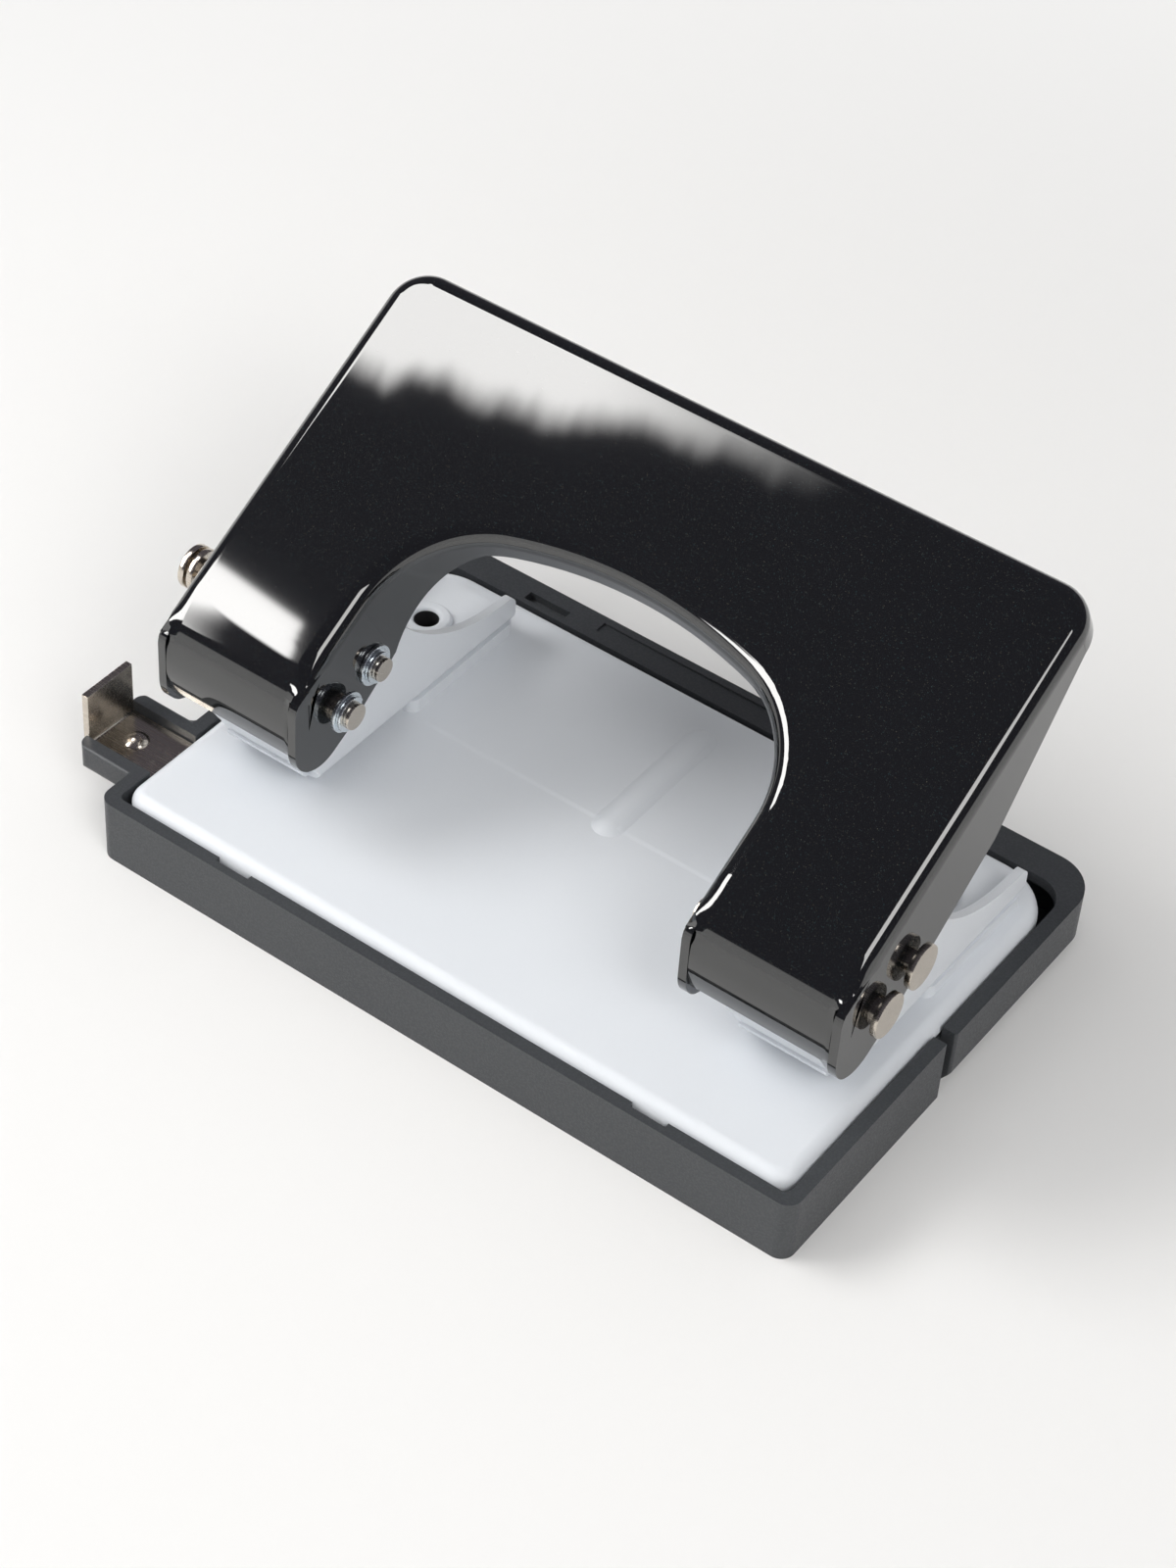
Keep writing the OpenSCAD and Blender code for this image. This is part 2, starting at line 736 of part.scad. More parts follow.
// Outline of a bracket's wall, seen from the side
module bracket_wall() {
  lip_y = hinge_y - lip_len * cos(lip_slope);
  foot_z = bracket_z + bracket_bend_r;
  front_y = hinge_y - eye_r + wall_in;
  difference() {
    union() {
      polygon([[hinge_y, foot_z], [tail_y, foot_z], [tail_y, ear_top],
        [pin_y, ear_top], [pin_y, hinge_z], [hinge_y, hinge_z]]);
      polygon([[hinge_y, foot_z], [hinge_y, hinge_z], [front_y, hinge_z],
        [lip_y, foot_z + lip_len * sin(lip_slope)], [hinge_y - bracket_t / 2, foot_z]]);
      translate([hinge_y, hinge_z])
        circle(eye_r - wall_in);
      translate([pin_y, pin_z])
        circle(ear_top - pin_z);
    }
    translate([tail_y - bracket_t, bracket_z + tail_h + scoop_r])
      circle(scoop_r, $fn = 160);
    rounded_off([tail_y, bracket_z + tail_h], [-1, -1], tail_r);
    translate([hinge_y, hinge_z])
      circle(hinge_pin_d / 2 + seat_fit);
    // Curved slot that the punch pin travels in
    translate([hinge_y, hinge_z])
      pin_slot();
  }
}

// Slot round the hinge, from the punch pin's place at rest to its place when pressed
module pin_slot() {
  half = slot_r - 2 * thin;
  far = 4 * pin_reach;
  for (a = [pin_angle, pin_low])
    translate(pin_reach * dir(a))
      circle(slot_r);
  intersection() {
    difference() {
      circle(pin_reach + half);
      circle(pin_reach - half);
    }
    polygon([[0, 0], far * dir(pin_low), far * dir(pin_angle)]);
  }
}

module bracket_lip() {
  half = bracket_x - bracket_bend_r - bracket_t / 4;
  translate([0, hinge_y, bracket_z])
    rotate([-lip_slope, 0, 0])
      translate([-half, -lip_len, 0])
        cube([2 * half, lip_len, bracket_t]);
  translate([0, hinge_y, bracket_z])
    intersection() {
      translate([0, 0, bracket_t])
        bar_x(bracket_t, -half, half);
      translate([-half, -bracket_t, 0])
        cube([2 * half, bracket_t + eps, bracket_t]);
    }
}

module bracket(side) {
  b = bracket_bend_r;
  color(PLATE)
    at_hole(side) {
      difference() {
        union() {
          translate([-bracket_x + b, hinge_y, bracket_z])
            cube([2 * (bracket_x - b), tail_y - hinge_y, bracket_t]);
          for (d = [0, 1])
            mirror([d, 0, 0]) {
              translate([bracket_x - b, tail_y, bracket_z + b])
                rotate([90, 0, 0])
                  linear_extrude(tail_y - hinge_y)
                    mirror([0, 1])
                      bend(b, bracket_t);
              side_sheet(bracket_x - bracket_t, bracket_x)
                bracket_wall();
            }
          bracket_lip();
          translate([0, punch_y, bracket_z])
            cylinder(h = bracket_t + collar_h, r = collar_r);
        }
        translate([0, punch_y, bracket_z - over])
          cylinder(h = bracket_t + collar_h + 2 * over, r = punch_d / 2 + run_gap);
        translate([0, rivet_y, bracket_z - over])
          cylinder(h = bracket_t + 2 * over, r = rivet_r + seat_fit);
      }
    }
}

// Hollow rivet through the bracket's floor and the pad, rolled over at both ends
module bracket_rivet(side) {
  bore = rivet_bore / 2;
  low = bracket_z - plate_t;
  r = rivet_lip - eps;
  color(PLATE)
    at_hole(side)
      translate([0, rivet_y, 0])
        rotate_extrude() {
          translate([bore, low])
            square([rivet_wall, floor_z - low]);
          rounded([bore, floor_z], [rivet_rim, floor_z + rivet_lip], 0, r);
          rounded([bore, low - rivet_lip], [rivet_rim, low], r, 0);
        }
}

// Pins, washers and retaining rings

// A pin through one leg, with a neck and heads outside it and a groove for its ring inside
module pin(side, d, y, z, off, neck, heads) {
  out = leg_x + neck;
  pitch = head_t + knob_groove;
  ring = leg_x + off + washer_t + seat_fit;
  end = ring + ring_t + pin_end;
  color(NICKEL)
    at_hole(side)
      translate([0, y, z])
        difference() {
          union() {
            bar_x(d / 2, -end, out + (heads - 1) * pitch + eps);
            for (i = [0 : heads - 1])
              bar_x(head_d / 2, out + i * pitch, out + i * pitch + head_t);
          }
          translate([-ring - ring_t - seat_fit, 0, 0])
            difference() {
              bar_x(d, 0, ring_t + 2 * seat_fit);
              bar_x(d / 2 - groove, 0, ring_t + 2 * seat_fit);
            }
        }
}

module washer(side, d, y, z, off) {
  color(ZINC)
    at_hole(side)
      translate([-leg_x - off - washer_t, y, z])
        difference() {
          bar_x(washer_d / 2, 0, washer_t);
          bar_x(d / 2 + seat_fit, -over, washer_t + over);
        }
}

// Open ring, sprung into the pin's groove
module retaining_ring(side, d, y, z, off) {
  inner = d / 2 - groove + seat_fit;
  mouth = inner * 1.2;
  color(ZINC)
    at_hole(side)
      translate([-leg_x - off - washer_t - seat_fit - ring_t, y, z])
        difference() {
          bar_x(inner + ring_wall, 0, ring_t);
          bar_x(inner, -over, ring_t + over);
          translate([-over, 0, -mouth / 2])
            cube([ring_t + 2 * over, d + ring_wall, mouth]);
        }
}

module hinge_pin(side) {
  pin(side, hinge_pin_d, hinge_y, hinge_z, washer_off, head_neck, 1);
}

module hinge_washer(side) {
  washer(side, hinge_pin_d, hinge_y, hinge_z, washer_off);
}

module hinge_ring(side) {
  retaining_ring(side, hinge_pin_d, hinge_y, hinge_z, washer_off);
}

// The left one has a longer neck, and a second head makes its knob
module punch_pin(side) {
  neck = side < 0 ? knob_neck : head_neck;
  pin(side, punch_pin_d, pin_y, pin_z, seat_fit, neck, side < 0 ? 2 : 1);
}

module punch_washer(side) {
  washer(side, punch_pin_d, pin_y, pin_z, seat_fit);
}

module punch_ring(side) {
  retaining_ring(side, punch_pin_d, pin_y, pin_z, seat_fit);
}

// Lever

// Moves its children from the slope's directions, about the hinge, to their place
module on_slope() {
  translate([0, hinge_y, hinge_z])
    rotate([lever_slope, 0, 0])
      children();
}

// Straight run of rolled edge along the slope; the bend's centre is at x, out is its outer side
module edge_run(x, out, s0, s1) {
  translate([x, s1, bend_h])
    rotate([90, 0, 0])
      linear_extrude(s1 - s0)
        scale([out, 1])
          bend(lever_edge_r, lever_t);
}

// Rolled edge and flange of the arch round a centre, on the side that faces it, within a wedge
module arch_edge(c, r, depth, wedge) {
  intersection() {
    translate([c.x, c.y, bend_h])
      rotate_extrude($fn = 96) {
        translate([r + lever_edge_r, 0])
          mirror([1, 0])
            bend(lever_edge_r, lever_t);
        translate([r, lever_edge_r - depth])
          square([lever_t, depth - lever_edge_r]);
      }
    translate([0, 0, lever_rise - depth - over])
      linear_extrude(depth + 2 * over)
        polygon(wedge);
  }
}

// Shape of the arch's opening seen square to the sheet, grown by g
module arch_opening(g) {
  translate([-arch_x - g, nose_s - over])
    square([2 * (arch_x + g), shoulder_s - nose_s + over]);
  for (side = [-1, 1])
    translate([side * shoulder_x, shoulder_s])
      circle(arch_shoulder_r + g, $fn = 96);
  intersection() {
    translate([0, crown_s])
      circle(arch_crown_r + g, $fn = 160);
    polygon([[0, crown_s], arch_far, [-arch_far.x, arch_far.y]]);
  }
}

// Flat part of the sheet
module lever_top() {
  e = lever_edge_r;
  translate([0, 0, lever_rise - lever_t])
    linear_extrude(lever_t)
      difference() {
        rounded([-lever_x + e, nose_s], [lever_x - e, lever_reach - e], 0, lever_corner_r - e);
        arch_opening(e);
      }
}

// Rolled edges along the sides and the rear, with the rear lip
module outer_edges() {
  e = lever_edge_r;
  for (side = [-1, 1]) {
    edge_run(side * (lever_x - e), side, nose_s, corner_s);
    translate([side * (lever_x - lever_corner_r), corner_s, bend_h])
      rotate([0, 0, side > 0 ? 0 : 90])
        rotate_extrude(angle = 90)
          translate([lever_corner_r - e, 0])
            lip_section();
  }
  translate([-lever_x + lever_corner_r, lever_reach - e, bend_h])
    rotate([90, 0, 90])
      linear_extrude(2 * (lever_x - lever_corner_r))
        lip_section();
}

// Rolled edges along the arch, with its flange, which rises under the shoulders
module arch_edges() {
  e = lever_edge_r;
  deep = lever_rise + 2 * eye_r;
  wide = 2 * lever_x;
  arch_edge([0, crown_s], arch_crown_r, lip_depth, [[0, crown_s], arch_far, [-arch_far.x, arch_far.y]]);
  for (d = [0, 1])
    mirror([d, 0, 0]) {
      edge_run(arch_x + e, -1, nose_s, shoulder_s);
      difference() {
        arch_edge([shoulder_x, shoulder_s], arch_shoulder_r, deep,
          [[shoulder_x, shoulder_s], arch_far, [wide, arch_far.y], [wide, shoulder_s]]);
        side_sheet(-lever_x, lever_x)
          below_shoulder();
      }
    }
}

// Section of the lip along the rear edge, out from the bend's centre
module lip_section() {
  bend(lever_edge_r, lever_t);
  translate([lever_edge_r - lever_t, lever_edge_r - lip_depth])
    square([lever_t, lip_depth - lever_edge_r]);
}

// What is cut away under the arch's shoulders, in s and h
module below_shoulder() {
  t = touch([knee_s, knee_h], eye_r);
  slope = (knee_h - t.y) / (knee_s - t.x);
  h0 = knee_h - slope * (knee_s - shoulder_s);
  h1 = lever_rise - lip_depth;
  s1 = shoulder_s + (h1 - h0) / tan(shoulder_slope);
  low = -2 * eye_r - over;
  polygon([[shoulder_s - over, low], [shoulder_s - over, h0], [shoulder_s, h0], [s1, h1],
    [lever_reach, h1], [lever_reach, low]]);
}

// Outline of a side flange in the slope's directions, ending at s_end
module flange_outline(s_end, h_end) {
  t = touch([knee_s, knee_h], eye_r);
  slope = (knee_h - t.y) / (knee_s - t.x);
  tip = tilt([tip_y, tip_z]);
  nose = [nose_s, nose_h];
  nose_in = nose_r - lever_edge_r + let_in;
  front = 180 - lever_slope;
  rear = atan2(t.y, t.x);
  r = tip_r - 2 * thin;
  low = under([0, 0], eye_r, tip, r);
  eye = eye_r / cos((rear - low) / 2) * dir((rear + low) / 2);
  edge = tip + r * dir(low);
  run = ((nose - edge) * dir(front) + nose_in) / (dir(low - 90) * dir(front));
  s_in = s_end + let_in;
  h_low = knee_h - slope * (knee_s - s_end);
  lower = s_end > knee_s
    ? [[s_in, h_end + thin], [s_end, h_end + thin], [knee_s, knee_h]]
    : [[s_in, h_low + let_in], [s_end, h_low]];
  difference() {
    polygon(concat([nose + nose_in / cos(front / 2 - 45) * dir(front / 2 + 45), [s_in, bend_h + let_in]],
      lower, [eye, edge + run * dir(low - 90)]));
    outside_arc(nose, nose_in, 90, front);
    // The arcs are cut a little deeper than the lines that run into them
    outside_arc([0, 0], eye_r - thin, low, rear);
    outside_arc(tip, r - thin, front - 360, low);
  }
}

// Section across the front of a leg: the sheet and its two rolled edges, along X
module leg_section() {
  half = leg_x - lever_edge_r;
  translate([-lever_t, -half])
    square([lever_t, 2 * half]);
  for (d = [-1, 1])
    translate([-lever_edge_r, d * half])
      scale([1, d])
        bend(lever_edge_r, lever_t);
}

// Bend at the front of one leg, from the sloping sheet down to the tab, which curls under
module leg_nose() {
  curl = asin((tab_drop + nose_z) / nose_r);
  translate([0, nose_s, nose_h])
    rotate([0, -90, 180])
      rotate_extrude(angle = 90 - lever_slope + curl)
        translate([nose_r, 0])
          leg_section();
}

// Moves its children from level directions, about the hinge, to the slope's
module level() {
  translate([0, nose_s, nose_h])
    rotate([-lever_slope, 0, 0])
      translate([0, -nose_y, -nose_z])
        children();
}

// What is cut away beside the tab: the slits, and the places of the flanges' fronts
module slits() {
  x = leg_x - lever_t - slit_w;
  for (d = [0, 1])
    mirror([d, 0, 0])
      translate([x, -lever_front - over, -tab_drop - over])
        cube([leg_x - x + over, lever_edge_r + 2 * over, slit_up + tab_drop + over]);
}

// Front of a flange, whose cut edge stands beside the tab and ends in a corner; level about the hinge
module flange_front() {
  front = -lever_front;
  rear = nose_y - nose_r + lever_edge_r + let_in;
  corner = [front + horn_back, horn_up];
  // The upper edge runs back from the corner and sinks into the rolled edge
  sunk = [nose_s - let_in, bend_h - 2 * let_in];
  top = [sunk.x * cos(lever_slope) - sunk.y * sin(lever_slope),
    sunk.x * sin(lever_slope) + sunk.y * cos(lever_slope)];
  difference() {
    polygon([[front, -tip_drop], [rear, -tip_drop], [rear, 0], top, corner,
      corner - [0.7, 0.9] * horn_back, corner - [1, 2.2] * horn_back]);
    difference() {
      translate([front - over, -tip_drop - over])
        square([tip_r + over, tip_r + over]);
      translate([tip_y, tip_z])
        circle(tip_r);
    }
  }
}

module lever() {
  color(BLACK)
    on_slope()
      difference() {
        union() {
          lever_top();
          outer_edges();
          arch_edges();
          for (side = [-1, 1])
            at_hole(side) {
              difference() {
                leg_nose();
                level()
                  slits();
              }
              for (d = [0, 1])
                mirror([d, 0, 0])
                  level()
                    side_sheet(leg_x - lever_t + thin, leg_x - thin)
                      flange_front();
              side_sheet(leg_x - lever_t + 2 * thin, leg_x - 2 * thin)
                flange_outline(corner_s, lever_rise - lip_depth);
              side_sheet(-leg_x + 2 * thin, -leg_x + lever_t - 2 * thin)
                flange_outline(shoulder_s, bend_h);
            }
        }
        bar_x(hinge_pin_d / 2 + run_gap, -lever_x - over, lever_x + over);
        rotate([pin_angle - lever_slope, 0, 0])
          translate([0, pin_reach, 0])
            bar_x(punch_pin_d / 2 + seat_fit, -lever_x - over, lever_x + over);
      }
}

// Punches and springs

// Round cutter with a slot for its pin, a groove for the spring collar and a saddle-ground end
module punch(side) {
  r = punch_d / 2;
  saddle = 1.5 * punch_d;
  neck = r - groove;
  color(STEEL)
    at_hole(side)
      translate([0, punch_y, 0])
        difference() {
          translate([0, 0, punch_tip])
            cylinder(h = punch_top - punch_tip, r = r);
          translate([0, punch_d, punch_tip - sqrt(saddle * saddle - r * r)])
            rotate([90, 0, 0])
              cylinder(h = 2 * punch_d, r = saddle, $fn = 128);
          for (d = [-1, 1])
            translate([0, d * pin_sway, pin_z])
              bar_x(slot_r, -punch_d, punch_d);
          translate([-punch_d, -pin_sway, pin_z - slot_r])
            cube([2 * punch_d, 2 * pin_sway, 2 * slot_r]);
          translate([0, 0, seat_z - seat_fit])
            difference() {
              cylinder(h = seat_t + 2 * seat_fit, r = punch_d);
              cylinder(h = seat_t + 2 * seat_fit, r = neck);
            }
        }
}

module spring_collar(side) {
  inner = punch_d / 2 - groove + seat_fit;
  color(ZINC)
    at_hole(side)
      translate([0, punch_y, seat_z])
        difference() {
          cylinder(h = seat_t, r = inner + seat_w);
          translate([0, 0, -over])
            cylinder(h = seat_t + 2 * over, r = inner);
        }
}

// Helical spring: rings of points along the coil, closed with fans at both ends
coil_rings = coil_steps * turns;
coil_sides = 6;
coil_rise = coil_z1 - coil_z0;

function coil_point(i) =
  let (a = 360 * turns * i / coil_rings)
  [coil_r * cos(a), coil_r * sin(a), coil_z0 + coil_rise * i / coil_rings];

function coil_ring(i) =
  let (a = 360 * turns * i / coil_rings)
  [for (k = [0 : coil_sides - 1])
    let (b = 360 * k / coil_sides, out = wire_d / 2 * cos(b))
    coil_point(i) + [out * cos(a), out * sin(a), wire_d / 2 * sin(b)]];

function coil_gap() =
  let (apart = coil_steps / 2)
  min([for (i = [0 : coil_rings - apart], j = [i + apart : coil_rings])
    norm(coil_point(j) - coil_point(i))]) - wire_d;

module spring(side) {
  n = coil_sides;
  last = coil_rings * n;
  points = [for (i = [0 : coil_rings]) each coil_ring(i)];
  walls = [for (i = [0 : coil_rings - 1], k = [0 : n - 1])
    let (a = i * n + k, b = i * n + (k + 1) % n)
    each [[a, a + n, b], [b, a + n, b + n]]];
  caps = [for (k = [1 : n - 2]) each [[0, k, k + 1], [last, last + k + 1, last + k]]];
  color(STEEL)
    at_hole(side)
      translate([0, punch_y, 0])
        polyhedron(points, concat(walls, caps));
}

// Gauge

module gauge_bar() {
  b = stop_bend_r;
  half = gauge_w / 2;
  inner = -stop_x + b;
  color(NICKEL)
    translate([0, gauge_y, 0])
      difference() {
        union() {
          translate([inner, -half, gauge_z])
            cube([gauge_end - inner, gauge_w, gauge_t]);
          translate([-stop_x, -half, gauge_z + b])
            cube([gauge_t, gauge_w, gauge_t + stop_h - b]);
          translate([inner, half, gauge_z + b])
            rotate([90, 0, 0])
              linear_extrude(gauge_w)
                rotate(180)
                  bend(b, gauge_t);
        }
        translate([-stop_x + gauge_t + gauge_rivet_in, 0, gauge_z - over])
          cylinder(h = gauge_t + 2 * over, r = gauge_rivet_d / 4 + seat_fit);
      }
}

// Domed rivet, peened flush under the strip
module gauge_rivet() {
  r = gauge_rivet_d / 2;
  dome = (r * r + gauge_rivet_h * gauge_rivet_h) / (2 * gauge_rivet_h);
  color(NICKEL)
    translate([-stop_x + gauge_t + gauge_rivet_in, gauge_y, gauge_top]) {
      intersection() {
        translate([0, 0, gauge_rivet_h - dome])
          sphere(dome);
        cylinder(h = gauge_rivet_h + over, r = r + over);
      }
      translate([0, 0, -gauge_t])
        cylinder(h = gauge_t + gauge_rivet_h / 2, r = r / 2);
    }
}

echo(spring_gap = coil_gap(), stroke = stroke, ratio = stroke / press_angle * 180 / PI);

base_plate();
front_tray();
chip_door();
bracket(-1);  // left_bracket
bracket(1);  // right_bracket
bracket_rivet(-1);  // left_rivet
bracket_rivet(1);  // right_rivet
hinge_pin(-1);  // left_hinge_pin
hinge_pin(1);  // right_hinge_pin
hinge_washer(-1);  // left_hinge_washer
hinge_washer(1);  // right_hinge_washer
hinge_ring(-1);  // left_hinge_ring
hinge_ring(1);  // right_hinge_ring
lever();
punch_pin(-1);  // left_punch_pin
punch_pin(1);  // right_punch_pin
punch_washer(-1);  // left_punch_washer
punch_washer(1);  // right_punch_washer
punch_ring(-1);  // left_punch_ring
punch_ring(1);  // right_punch_ring
punch(-1);  // left_punch
punch(1);  // right_punch
spring(-1);  // left_spring
spring(1);  // right_spring
spring_collar(-1);  // left_spring_collar
spring_collar(1);  // right_spring_collar
gauge_bar();
gauge_rivet();
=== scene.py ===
"""Two-hole desk punch: softened edges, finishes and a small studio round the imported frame."""
import math

import bmesh
import bpy
from mathutils import Matrix, Vector


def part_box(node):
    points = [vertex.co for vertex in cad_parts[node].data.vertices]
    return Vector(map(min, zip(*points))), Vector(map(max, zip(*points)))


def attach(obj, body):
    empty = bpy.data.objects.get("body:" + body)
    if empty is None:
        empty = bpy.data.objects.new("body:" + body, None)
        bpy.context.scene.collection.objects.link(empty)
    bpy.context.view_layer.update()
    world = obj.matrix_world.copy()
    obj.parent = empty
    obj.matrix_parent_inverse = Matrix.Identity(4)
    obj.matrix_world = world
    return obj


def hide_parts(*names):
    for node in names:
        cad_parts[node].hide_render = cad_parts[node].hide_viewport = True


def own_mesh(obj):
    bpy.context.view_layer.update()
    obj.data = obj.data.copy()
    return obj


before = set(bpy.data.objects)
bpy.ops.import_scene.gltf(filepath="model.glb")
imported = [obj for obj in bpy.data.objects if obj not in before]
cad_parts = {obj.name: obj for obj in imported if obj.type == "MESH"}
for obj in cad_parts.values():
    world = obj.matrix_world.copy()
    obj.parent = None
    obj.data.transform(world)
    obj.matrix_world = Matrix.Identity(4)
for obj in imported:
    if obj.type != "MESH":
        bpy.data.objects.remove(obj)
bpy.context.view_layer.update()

MM = 0.001


# Nodes and node groups

def shader(tree, kind, inputs=None, **settings):
    """A shader node with its settings and inputs; a socket given as an input is linked."""
    made = tree.nodes.new("ShaderNode" + kind)
    for name, value in settings.items():
        setattr(made, name, value)
    for name, value in (inputs or {}).items():
        if isinstance(value, bpy.types.NodeSocket):
            tree.links.new(value, made.inputs[name])
        else:
            made.inputs[name].default_value = value
    return made


def group(name, inputs, outputs):
    """An empty node group; inputs are name: default, outputs are name: socket type."""
    tree = bpy.data.node_groups.new(name, "ShaderNodeTree")
    for label, value in inputs.items():
        socket = tree.interface.new_socket(label, in_out="INPUT", socket_type="NodeSocketFloat")
        socket.default_value = value
    for label, kind in outputs.items():
        tree.interface.new_socket(label, in_out="OUTPUT", socket_type="NodeSocket" + kind)
    start = tree.nodes.new("NodeGroupInput")
    end = tree.nodes.new("NodeGroupOutput")
    return tree, start.outputs, end.inputs


def use(tree, name, **inputs):
    """Places a node group in a material; spaces in an input's name are written as underscores."""
    made = tree.nodes.new("ShaderNodeGroup")
    made.node_tree = bpy.data.node_groups[name]
    for label, value in inputs.items():
        made.inputs[label.replace("_", " ")].default_value = value
    return made.outputs


def maths(tree, operation, a, b=0.0, clamp=False):
    made = shader(tree, "Math", operation=operation, use_clamp=clamp)
    for index, value in enumerate((a, b)):
        if isinstance(value, bpy.types.NodeSocket):
            tree.links.new(value, made.inputs[index])
        else:
            made.inputs[index].default_value = value
    return made.outputs[0]


def ramp(tree, value, low, high, to_low=0.0, to_high=1.0):
    """Smooth step from one value to another."""
    made = shader(tree, "MapRange", {"Value": value, "From Min": low, "From Max": high,
                                     "To Min": to_low, "To Max": to_high},
                  interpolation_type="SMOOTHSTEP")
    return made.outputs["Result"]


def mix(tree, share, a, b):
    made = shader(tree, "Mix", data_type="RGBA")
    for socket, value in ((made.inputs["Factor"], share), (made.inputs[6], a), (made.inputs[7], b)):
        if isinstance(value, bpy.types.NodeSocket):
            tree.links.new(value, socket)
        else:
            socket.default_value = value
    return made.outputs[2]


def build_mottle():
    """Slow and fast cloudy variation, such as a coat of paint or a moulding shows."""
    tree, given, out = group("mottle", {"Size": 12.0, "Fine": 0.8}, {"Slow": "Float", "Fine": "Float"})
    place = shader(tree, "TexCoord").outputs["Object"]
    for label in ("Slow", "Fine"):
        size = given["Size"] if label == "Slow" else given["Fine"]
        scale = maths(tree, "DIVIDE", 1 / MM, size)
        noise = shader(tree, "TexNoise", {"Vector": place, "Scale": scale, "Detail": 3.0, "Roughness": 0.55})
        tree.links.new(noise.outputs["Fac"], out[label])


def build_moulded_grain():
    """Fine spark-eroded grain of a moulding: height and a speckle of shinier tops."""
    tree, given, out = group("moulded_grain", {"Size": 0.3}, {"Height": "Float", "Tops": "Float"})
    place = shader(tree, "TexCoord").outputs["Object"]
    scale = maths(tree, "DIVIDE", 1 / MM, given["Size"])
    cells = shader(tree, "TexVoronoi", {"Vector": place, "Scale": scale}, feature="SMOOTH_F1")
    noise = shader(tree, "TexNoise", {"Vector": place, "Scale": scale, "Detail": 2.0})
    pits = maths(tree, "MULTIPLY", cells.outputs["Distance"], -0.6)
    height = maths(tree, "ADD", pits, noise.outputs["Fac"])
    tree.links.new(height, out["Height"])
    tree.links.new(ramp(tree, height, 0.15, 0.45), out["Tops"])


def build_flake():
    """Metal flake in a lacquer: scattered specks, each with a tint and brightness of its own."""
    tree, given, out = group("flake", {"Size": 0.2, "Share": 0.2}, {"Speck": "Float", "Tint": "Color"})
    place = shader(tree, "TexCoord").outputs["Object"]
    scale = maths(tree, "DIVIDE", 1 / MM, given["Size"])
    cells = shader(tree, "TexVoronoi", {"Vector": place, "Scale": scale})
    parts = shader(tree, "SeparateColor", {"Color": cells.outputs["Color"]})
    chosen = maths(tree, "LESS_THAN", parts.outputs["Red"], given["Share"])
    inside = ramp(tree, cells.outputs["Distance"], 0.45, 0.2)
    bright = maths(tree, "POWER", parts.outputs["Green"], 2.0)
    speck = maths(tree, "MULTIPLY", maths(tree, "MULTIPLY", chosen, inside), bright)
    tree.links.new(speck, out["Speck"])
    teal = (0.18, 0.55, 0.62, 1)
    gold = (0.75, 0.66, 0.45, 1)
    tree.links.new(mix(tree, parts.outputs["Blue"], teal, gold), out["Tint"])


def build_brushed():
    """Fine lines along X, and a few broader rubs across them."""
    tree, given, out = group("brushed", {"Length": 14.0, "Width": 0.12}, {"Lines": "Float", "Rubs": "Float"})
    place = shader(tree, "TexCoord").outputs["Object"]
    along = maths(tree, "DIVIDE", 1 / MM, given["Length"])
    across = maths(tree, "DIVIDE", 1 / MM, given["Width"])
    scale = shader(tree, "CombineXYZ", {"X": along, "Y": across, "Z": across}).outputs["Vector"]
    stretched = shader(tree, "VectorMath", {0: place, 1: scale}, operation="MULTIPLY").outputs["Vector"]
    lines = shader(tree, "TexNoise", {"Vector": stretched, "Scale": 1.0, "Detail": 2.0})
    rubs = shader(tree, "TexNoise", {"Vector": place, "Scale": 0.35 / MM, "Detail": 4.0, "Roughness": 0.65})
    tree.links.new(lines.outputs["Fac"], out["Lines"])
    tree.links.new(ramp(tree, rubs.outputs["Fac"], 0.5, 0.72), out["Rubs"])


def build_edge_wear():
    """Where the rounded edges are rubbed; reads the pieces' own rim attribute."""
    tree, given, out = group("edge_wear", {"Amount": 0.5, "Size": 1.5}, {"Wear": "Float"})
    place = shader(tree, "TexCoord").outputs["Object"]
    rim = shader(tree, "Attribute", attribute_name="rim").outputs["Fac"]
    scale = maths(tree, "DIVIDE", 1 / MM, given["Size"])
    noise = shader(tree, "TexNoise", {"Vector": place, "Scale": scale, "Detail": 3.0})
    patchy = ramp(tree, noise.outputs["Fac"], 0.35, 0.65)
    wear = maths(tree, "MULTIPLY", maths(tree, "MULTIPLY", rim, patchy), given["Amount"])
    tree.links.new(wear, out["Wear"])


def build_crease():
    """A faint fold across the pressed plate, along the line where the paper stops."""
    tree, given, out = group("crease", {"Line": 0.0, "Half": 30.0, "Top": 11.0}, {"Height": "Float"})
    parts = shader(tree, "SeparateXYZ", {"Vector": shader(tree, "TexCoord").outputs["Object"]}).outputs
    x, y, z = (maths(tree, "DIVIDE", parts[axis], MM) for axis in "XYZ")
    fold = ramp(tree, maths(tree, "SUBTRACT", y, given["Line"]), -0.5, 0.5)
    within = maths(tree, "LESS_THAN", maths(tree, "ABSOLUTE", x), given["Half"])
    low = maths(tree, "LESS_THAN", z, given["Top"])
    tree.links.new(maths(tree, "MULTIPLY", fold, maths(tree, "MULTIPLY", within, low)), out["Height"])


for build in (build_mottle, build_moulded_grain, build_flake, build_brushed, build_edge_wear, build_crease):
    build()


# Finishes

def finish_of(name, **fixed):
    """A material with a Principled shader; fixed sockets are written with underscores for spaces."""
    made = bpy.data.materials.new(name)
    made.use_nodes = True
    tree = made.node_tree
    surface = tree.nodes["Principled BSDF"]
    for label, value in fixed.items():
        surface.inputs[label.replace("_", " ")].default_value = value
    return made, tree, surface.inputs


